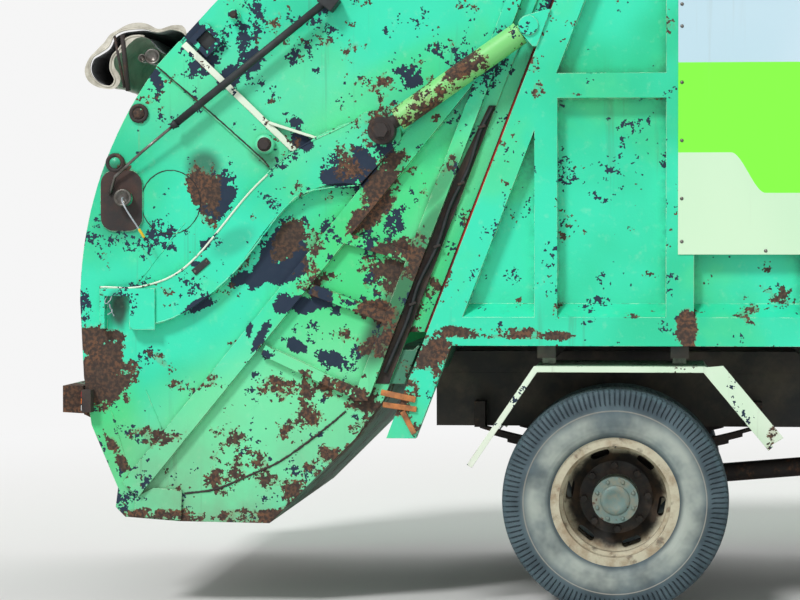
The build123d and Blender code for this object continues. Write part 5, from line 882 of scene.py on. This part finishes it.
def right_side_fittings():
    """What the photograph shows on the right wall alone: the sleeved rod, its rubber block and a tag."""
    batch = Batch("gate_right_fittings", "tailgate", "seal_rubber")
    batch.tube(SLEEVED_ROD, 17, black_rubber, 20)
    sleeve_end = Vector(SLEEVED_ROD[1])
    batch.tube([sleeve_end, sleeve_end + Vector((-22, 0, -17))], [22, 13], black_rubber, 20)
    batch.tube(THIN_ROD, 7, steel, 12)
    batch.block(ROD_BLOCK, (80, 82, 66), black_rubber, 6, 38)
    batch.block(TAG, (88, 5, 31), black_rubber, 2, -40)
    for x, z in TAG_BOLTS:
        batch.bolt((x, ARM_Y - 5, z), OUT, 9, 5, steel)
    batch.done()


def pocket_tie():
    """The twisted wire tie that hangs in the pocket bracket's opening."""
    batch = Batch("pocket_tie", "tailgate", "spring_steel")
    y = ARM_Y - 8
    turns = [step / 8 * math.tau for step in range(8)]
    loop = [(-2250 + 16 * math.cos(turn), y + 9 * math.sin(turn), 1386 + 22 * math.sin(turn + 0.6))
            for turn in turns]
    tail = [(-2248 + turn * 3, y + 5 * math.cos(turn * 1.9), 1364 - turn * 7 + 4 * math.sin(turn * 1.9))
            for turn in range(9)]
    batch.tube(loop, TIE_R, grey_wire, 8, True)
    batch.tube(tail, TIE_R, grey_wire, 8)
    second = [(x + 3, y - 3, z) for x, y, z in tail[:6]] + [(-2252, ARM_Y - 12, 1316)]
    batch.tube(second, TIE_R, grey_wire, 8)
    batch.done()


def route_curve(name, points, radius, material):
    """A round cord as one smooth NURBS curve with the route's points as its control points."""
    data = bpy.data.curves.new(name, "CURVE")
    data.dimensions = "3D"
    spline = data.splines.new("NURBS")
    spline.points.add(len(points) - 1)
    for point, place in zip(spline.points, points):
        point.co = (*at(*place), 1.0)
    spline.order_u = 3
    spline.use_endpoint_u = True
    spline.resolution_u = 8
    data.bevel_depth = radius
    data.bevel_resolution = 3
    data.use_fill_caps = True
    data.materials.append(material)
    made = new_object(name, data)
    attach(made, "tailgate")
    return made


def lamp_wire():
    """The lamp's loose wire with the yellow sleeve on its cut end."""
    wire = route_curve("lamp_wire_cord", WIRE_LINE, WIRE_DIAMETER / 2, grey_wire)
    sleeve = Batch("lamp_wire_sleeve", "tailgate")
    end, before = Vector(WIRE_LINE[-1]), Vector(WIRE_LINE[-2])
    along = (end - before).normalized()
    sleeve.lathe(end - along * 62, along, [(4.4, 0), (6.2, 3), (6.2, 42), (4.8, 46)], yellow_sleeve, 20)
    sleeve.lathe(end - along * 17, along, [(4.4, 0), (5.0, 2), (4.4, 12), (2.6, 18)], black_rubber, 20)
    piece = sleeve.done()
    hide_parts("lamp_wire")


gate_details()
seam_fittings()
right_side_fittings()
pocket_tie()
lamp_wire()

# Fittings of the body
SIGN_Y = -1205.0
SIGN_LEFT_X = 273.0
SIGN_SCREW_Z = (2665, 2570, 2328, 2077, 1826, 1640)
SCREW_INSET = 16
SCREW_GAPS = 9
# The small bracket's bars: X, Z, length, height and turn
BRACKET_BARS = ((-944, 966, 156, 26, 12), (-938, 918, 150, 24, 8), (-900, 850, 110, 24, 62))


def body_details():
    """Screws round the signs and the small bracket on the right seam post."""
    batch = Batch("body_details", "chassis", "body_green", True)
    low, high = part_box("sign_panels")
    left_x, right_x = SIGN_LEFT_X + SCREW_INSET, (high.x - AXLE_X) * 1000 - SCREW_INSET
    places = [(x, z) for x in (left_x, right_x) for z in SIGN_SCREW_Z]
    for step in range(1, SCREW_GAPS):
        x = left_x + (right_x - left_x) * step / SCREW_GAPS
        places += [(x, low.z * 1000 + SCREW_INSET), (x, high.z * 1000 - SCREW_INSET)]
    for x, z in places:
        batch.lathe((x, SIGN_Y, z), OUT, [(8, -1), (8, 0.5), (5.5, 3), (0, 3.4)], steel, 16)
    batch.mirrored = False
    for x, z, long, high, turn in BRACKET_BARS:
        batch.block((x, SIGN_Y - 1, z), (long, 14, high), orange_metal, 3, turn)
    batch.done()


body_details()

# Small parts of the rear wheels
CAP_BOLTS = 8
CAP_BOLT_R = 86.0
CAP_Y = 1056.0
VALVE_R = 236


def wheel_details():
    """Bolts round the rear hub caps, their raised middle and the valves."""
    for side, sign in SIDES:
        batch = Batch(f"rear_cap_bolts_{side}", f"rear_wheel_{side}", "rim_paint")
        y = sign * CAP_Y
        for step in range(CAP_BOLTS):
            angle = math.tau * (step + 0.5) / CAP_BOLTS
            centre = (CAP_BOLT_R * math.cos(angle), y, AXLE_UP + CAP_BOLT_R * math.sin(angle))
            batch.bolt(centre, (0, sign, 0), 13, 8, rim_paint)
        middle = [(66, 0), (64, 4), (40, 6), (36, 3), (0, 3)]
        batch.lathe((0, y, AXLE_UP), (0, sign, 0), middle, rim_paint, 40)
        valve = [(0, y + sign * 8, AXLE_UP + VALVE_R), (6, y + sign * 30, AXLE_UP + VALVE_R + 10)]
        batch.tube(valve, 4.5, steel)
        batch.done()


wheel_details()

# Canvas over the mouth
CANVAS_HALF = 1046.0
CANVAS_FOLDS = ((-1905, 2560), (-1926, 2578), (-1975, 2589), (-2035, 2578), (-2094, 2592), (-2160, 2590),
                (-2205, 2580), (-2240, 2556), (-2262, 2512), (-2300, 2486), (-2334, 2462), (-2348, 2412),
                (-2330, 2366), (-2290, 2334), (-2246, 2330), (-2226, 2362), (-2246, 2410), (-2238, 2462),
                (-2204, 2500), (-2176, 2540), (-2128, 2553), (-2078, 2542), (-2044, 2504), (-2016, 2480))
CANVAS_HEM = 15.0
# How many of the fold line's points at its inner end have no hem
HEM_SHORT = 12
CANVAS_COLUMNS = 150
CANVAS_BARS = (((-2196, 2562), (-2170, 2312), 11), ((-2231, 2556), (-2187, 2326), 6))
CANVAS_ENDS = ((-2063, 2465, 35, 58), (-2107, 2458, 18, 66))

# The wire ties of the roll: their shares of its width and the points of each in X, Y from the tie's place, Z
CANVAS_TIES = (0.2, 0.5, 0.8)
TIE_LINE = ((-1912, 0, 2558), (-1950, 3, 2592), (-2035, 6, 2590))
# The canvas's creases: length along Y, lean, how often they come along the fold line, seed and height
CREASE_WAVES = ((190, 0, 3.0, 1.7, 13), (60, 2, 9.0, 4.1, 5), (420, 0, 1.5, 8.0, 10))


def canvas_hem(line):
    """The stiff sewn hem at both ends of the canvas, with a cord in its edge."""
    batch = Batch("canvas_hem", "tailgate", "canvas", True)
    y = -CANVAS_HALF - 3
    outer, inner = [], []
    for index, (x, z) in enumerate(line[:-HEM_SHORT]):
        before, after = line[max(index - 1, 0)], line[index + 1]
        along = Vector((after[0] - before[0], after[1] - before[1])).normalized()
        taper = min(1.0, index / 6, (len(line) - HEM_SHORT - 1 - index) / 6)
        wide = CANVAS_HEM * (1 + 0.5 * math.sin(index * 0.35)) * taper
        outer.append((x - along.y * 4, y, z + along.x * 4))
        inner.append((x + along.y * wide, y, z - along.x * wide))
    count = len(outer)
    faces = [(step, step + 1, count + step + 1, count + step) for step in range(count - 1)]
    batch.add(outer + inner, faces, hem_cloth, True)
    batch.tube(outer, 4.5, hem_cloth, 8)
    return batch.done()


def canvas_point(line, index, y):
    """A point of the creased canvas: the fold line pushed in and out along its normal, held at its ends."""
    x, z = line[index]
    before, after = line[max(index - 1, 0)], line[min(index + 1, len(line) - 1)]
    along = Vector((after[0] - before[0], after[1] - before[1])).normalized()
    share = index / (len(line) - 1)
    held = min(1.0, 5 * share, 5 * (1 - share))
    waves = sum(noise.noise(Vector((y / long + share * lean, share * often, seed))) * high
                for long, lean, often, seed, high in CREASE_WAVES)
    push = (waves - 9) * held
    sag = noise.noise(Vector((y / 300, 0, 5.5))) * 6 * held
    return x + along.y * push, y + 4 * math.sin(share * 40) * held, z - along.x * push + sag


def canvas():
    """The canvas as one gathered sheet, folded back under itself and creased, and the frame that holds it."""
    line = rounded_line(CANVAS_FOLDS, 5)
    columns = [CANVAS_HALF * (2 * column / CANVAS_COLUMNS - 1) for column in range(CANVAS_COLUMNS + 1)]
    points = [canvas_point(line, index, y) for y in columns for index in range(len(line))]
    faces = grid_faces(len(columns), len(line), wrap_columns=False)
    batch = Batch("canvas_sheet", "tailgate", "canvas")
    batch.add(points, [face[::-1] for face in faces], canvas_cloth, True)
    sheet = batch.done(("rear_canvas",))
    hem = canvas_hem(line)
    batch = Batch("canvas_frame", "tailgate", "canvas", True)
    y = -CANVAS_HALF - 3
    for (x0, z0), (x1, z1), radius in CANVAS_BARS:
        batch.tube([(x0, y, z0), (x1, y, z1)], radius, rust_steel)
    for x, z, radius, out in CANVAS_ENDS:
        cup = [(radius, 0), (radius, out), (radius * 0.82, out + 2), (radius * 0.7, out - 10), (0, out - 12)]
        batch.lathe((x, -CANVAS_HALF + 60, z), OUT, cup, steel, 28)
    batch.mirrored = False
    for share in CANVAS_TIES:
        middle = CANVAS_HALF * (2 * share - 1)
        batch.tube([(x, middle + y, z) for x, y, z in TIE_LINE], 4, grey_wire, 8)
    batch.done()


canvas()

# Cab and lamps
CAB_FRONT = FRONT_WHEEL_X + 1350
CAB_HALF = 1130.0
SCREEN_FOOT = (CAB_FRONT - 20, 1880.0)
SCREEN_HEAD = (CAB_FRONT - 270, 2690.0)
BUMPER_FRONT = FRONT_WHEEL_X + 1400
WIPERS_Y = (-620, 60)
WIPER_REACH = 520
HANDLE_X = CAB_FRONT - 945
ROOF_LAMPS_Y = (-860, -430, 0, 430, 860)
ROOF_Z = 2740.0
HEADLAMPS_Y = (770, 888)
HEADLAMP_Z = 630
LENS_DROP = 30


def on_screen(share, out=0.0):
    """A point on the windscreen's line at a share of its height, and a distance out of it."""
    back, up = SCREEN_FOOT[0] - SCREEN_HEAD[0], SCREEN_HEAD[1] - SCREEN_FOOT[1]
    lean = math.atan2(back, up)
    x, z = SCREEN_FOOT
    return x - back * share + out * math.cos(lean), z + up * share + out * math.sin(lean)


def wiper(batch, y):
    """One wiper: its spindle, arm and blade, parked low on the screen."""
    x, z = on_screen(-0.035, 12)
    batch.lathe((x - 8, y, z), (1, 0, 0.3), [(16, 0), (16, 14), (9, 20), (0, 21)], black_rubber, 20)
    tip_x, tip_z = on_screen(0.12, 20)
    middle = y + WIPER_REACH * 0.55
    batch.tube([(x + 8, y, z + 4), (tip_x, middle, tip_z)], [7, 4.5], black_rubber, 8)
    low_x, low_z = on_screen(0.04, 12)
    high_x, high_z = on_screen(0.2, 12)
    blade = [(low_x, y + WIPER_REACH * 0.1, low_z), (tip_x - 4, middle, tip_z),
             (high_x, y + WIPER_REACH, high_z)]
    batch.tube(blade, 6, black_rubber, 8)


def door_details(side, sign):
    """A door's handle with its cup and its lock."""
    batch = Batch(f"door_trim_{side}", f"door_{side}", "dash_plastic")
    batch.block((HANDLE_X, sign * (CAB_HALF + 4), 1640), (120, 10, 44), dark_plastic, 3)
    batch.block((HANDLE_X + 6, sign * (CAB_HALF + 14), 1648), (96, 14, 18), black_rubber, 4)
    lock = [(9, 0), (9, 3), (6, 4), (0, 4)]
    batch.lathe((HANDLE_X - 38, sign * (CAB_HALF + 9), 1622), (0, sign, 0), lock, steel, 20)
    batch.done()


def cab_details():
    """Wipers, roof and corner lamps and mirror glasses."""
    batch = Batch("cab_trim", "cab", "dash_plastic")
    for y in WIPERS_Y:
        wiper(batch, y)
    for y in ROOF_LAMPS_Y:
        dome = [(34, 0), (34, 12), (26, 30), (12, 38), (0, 40)]
        batch.lathe((CAB_FRONT - 350, y, ROOF_Z - 4), (0, 0, 1), dome, amber_lens, 24)
    mirror_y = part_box("mirrors")[1].y * 1000 - 92
    for sign in (1, -1):
        batch.block((CAB_FRONT - 8, sign * 1020, 1690), (18, 110, 60), amber_lens, 5)
        batch.block((CAB_FRONT - 8, sign * mirror_y, 2090), (3, 150, 380), mirror_glass, 1.4)
    batch.done()


def lamp_details():
    """The headlamps' reflectors and bulbs, and the rear lamps' lenses."""
    front = Batch("front_lamps", "chassis", "lamp_lens")
    reflector = [(10, 0), (26, 6), (44, 24), (52, 38)]
    bulb = [(9, 0), (9, 10), (4, 16), (0, 17)]
    for y in (sign * y for sign in (1, -1) for y in HEADLAMPS_Y):
        front.lathe((BUMPER_FRONT - 46, y, HEADLAMP_Z), (1, 0, 0), reflector, mirror_glass, 40)
        front.lathe((BUMPER_FRONT - 42, y, HEADLAMP_Z), (1, 0, 0), bulb, white_lens, 20)
    front.done()
    rear = Batch("rear_lamp_lenses", "tailgate", "signal_lens")
    low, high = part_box("rear_lamps")
    x, z = (low.x - AXLE_X) * 1000 - 2, (low.z + high.z) * 500 + LENS_DROP
    for sign in (1, -1):
        for index, lens in enumerate((red_lens, amber_lens, white_lens)):
            rear.block((x, sign * (high.y * 1000 - 29), z - LENS_DROP * index), (7, 46, 24), lens, 2)
    rear.done()


for side, sign in SIDES:
    door_details(side, sign)
cab_details()
lamp_details()

# Seats
SEAT_REAR = CAB_FRONT - 1250
SEAT_LENGTH = 520.0
SEAT_Y = 560.0
SEAT_HALF = 240.0
CUSHION_Z = 1386
CUSHION_HIGH = 130.0
BACK_HIGH = 680.0
SEAT_LEAN = math.degrees(math.atan2(140, BACK_HIGH))
PAD_STEPS = 20
# In metres: the pads' grid, how far the padding may swell and how deep the sewn channels are
PAD_GRID = 0.012
PAD_SWELL = 0.012
CHANNEL_DEPTH = 0.006


def pad(name, centre, size, lean):
    """A seat pad: a block with rounded corners, puffed up by a short cloth simulation."""
    mesh = bmesh.new()
    bmesh.ops.create_cube(mesh, size=1.0)
    bmesh.ops.scale(mesh, vec=tuple((side - 26) / 1000 for side in size), verts=mesh.verts)
    ease(mesh, 0.03, 3)
    data = bpy.data.meshes.new(name)
    mesh.to_mesh(data)
    mesh.free()
    made = new_object(name, data)
    bpy.context.view_layer.objects.active = made
    made.select_set(True)
    remesh = made.modifiers.new("grid", "REMESH")
    remesh.mode = "VOXEL"
    remesh.voxel_size = PAD_GRID
    bpy.ops.object.modifier_apply(modifier="grid")
    start = [v.co.copy() for v in made.data.vertices]
    cloth = made.modifiers.new("puff", "CLOTH")
    cloth.settings.use_pressure = True
    cloth.settings.uniform_pressure_force = 4.0
    cloth.settings.effector_weights.gravity = 0.0
    for number in range(1, PAD_STEPS + 1):
        bpy.context.scene.frame_set(number)
    bpy.ops.object.modifier_apply(modifier="puff")
    bpy.context.scene.frame_set(1)
    half = [side / 2000 for side in size]
    thick = 0 if lean else 2
    turn = Matrix.Rotation(math.radians(-lean), 3, "Y")
    for vertex, first in zip(made.data.vertices, start):
        moved = vertex.co - first
        if moved.length > PAD_SWELL:
            moved = moved.normalized() * PAD_SWELL
        place = first + moved
        # Sewn channels across the pad
        channel = abs((place.y / half[1] * 2.5) % 1.0 - 0.5)
        front = 1 - abs(place[thick]) / half[thick] * 0.2
        dip = CHANNEL_DEPTH * math.exp(-(channel / 0.05) ** 2) * front
        place[thick] -= math.copysign(dip, place[thick])
        vertex.co = turn @ place + at(*centre)
    smooth = made.modifiers.new("fine", "SUBSURF")
    smooth.levels = smooth.render_levels = 1
    bpy.ops.object.modifier_apply(modifier="fine")
    made.select_set(False)
    for polygon in made.data.polygons:
        polygon.use_smooth = True
    made.data.materials.append(seat_cloth)
    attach(made, "cab")


def seats():
    """Two seats: a cushion and a leaning back each, on a steel box."""
    base = Batch("seat_bases", "cab", "dash_plastic")
    cushion_x = SEAT_REAR + SEAT_LENGTH / 2
    back_x = SEAT_REAR - 50
    back_z = CUSHION_Z + 80 + BACK_HIGH / 2
    wide = 2 * SEAT_HALF
    for side, sign in SIDES:
        y = sign * SEAT_Y
        pad(f"seat_cushion_{side}", (cushion_x, y, CUSHION_Z + CUSHION_HIGH / 2),
            (SEAT_LENGTH, wide, CUSHION_HIGH), 0.0)
        pad(f"seat_back_{side}", (back_x, y, back_z), (CUSHION_HIGH - 10, wide - 20, BACK_HIGH), SEAT_LEAN)
        base.block((cushion_x, y, CUSHION_Z - 121), (SEAT_LENGTH - 120, wide - 100, 238), dark_plastic, 12)
        for edge in (-165, 165):
            base.block((cushion_x - 10, y + edge, CUSHION_Z - 6), (SEAT_LENGTH - 60, 34, 14), steel, 3)
    base.done(("cab_seats",))


seats()

# Light, floor and camera
CAMERA_AT = (214.3, -11625.0, 1626.3)
CAMERA_YAW = 0.070
CAMERA_PITCH = -0.023
CAMERA_FOCUS_PIXELS = 2401.0
PICTURE_WIDTH = 800.0
CAMERA_SHIFT_X = -0.12
# How bright the surrounding is where it is seen and where it only lights
WHITE_LEVEL = 0.92
LIGHT_LEVEL = 0.52
# Between which distances in metres the floor turns into the surrounding, and half of the floor's side
FLOOR_FADE = (5.0, 11.0)
FLOOR_HALF = 60.0
# The lamps: direction, strength and spread in degrees
LAMPS = {"key": ((0.35, 0.62, -0.72), 2.0, 12.0), "fill": ((-0.55, -0.50, -0.65), 0.6, 50.0)}


def aim(made, direction):
    made.rotation_mode = "QUATERNION"
    made.rotation_quaternion = Vector(direction).to_track_quat("-Z", "Y")


def add_camera():
    """The photograph's camera."""
    data = bpy.data.cameras.new("camera")
    camera = new_object("camera", data)
    bpy.context.scene.camera = camera
    data.sensor_width = 36.0
    data.lens = CAMERA_FOCUS_PIXELS / PICTURE_WIDTH * data.sensor_width
    data.shift_x = CAMERA_SHIFT_X
    data.clip_end = 200.0
    camera.location = at(*CAMERA_AT)
    level = math.cos(CAMERA_PITCH)
    aim(camera, (-math.sin(CAMERA_YAW) * level, math.cos(CAMERA_YAW) * level, math.sin(CAMERA_PITCH)))


def add_stage():
    """A pale floor, a plain pale surrounding and soft lamps."""
    scene = bpy.context.scene
    scene.view_settings.view_transform = "Standard"
    scene.world = bpy.data.worlds.new("surrounding")
    sky = Finish("surrounding", scene.world)
    ray = sky.node("LightPath").outputs
    seen = sky.most(sky.most(ray["Is Camera Ray"], ray["Is Glossy Ray"]), ray["Is Transmission Ray"])
    level = sky.node("MapRange", {"Value": seen, "To Min": LIGHT_LEVEL, "To Max": WHITE_LEVEL})
    background = sky.tree.nodes["Background"].inputs
    sky.put(background["Strength"], level.outputs["Result"])
    sky.put(background["Color"], (255, 255, 255))

    mesh = bpy.data.meshes.new("floor")
    corners = [(x * FLOOR_HALF, y * FLOOR_HALF, 0) for x, y in ((-1, -1), (1, -1), (1, 1), (-1, 1))]
    mesh.from_pydata(corners, [], [(0, 1, 2, 3)])
    pale = Finish("floor_pale")
    mesh.materials.append(pale.done((226, 226, 224), 0.9))
    far = pale.step(pale.vector("LENGTH", pale.place), *FLOOR_FADE)
    glow = pale.node("Emission", {"Strength": WHITE_LEVEL}).outputs[0]
    blend = pale.node("MixShader", {0: far, 1: pale.shader.outputs[0], 2: glow})
    pale.put(pale.tree.nodes["Material Output"].inputs[0], blend.outputs[0])
    new_object("floor", mesh)

    for name, (direction, strength, spread) in LAMPS.items():
        lamp = bpy.data.lights.new(name, "SUN")
        lamp.energy = strength
        lamp.angle = math.radians(spread)
        aim(new_object(name, lamp), direction)


add_camera()
add_stage()
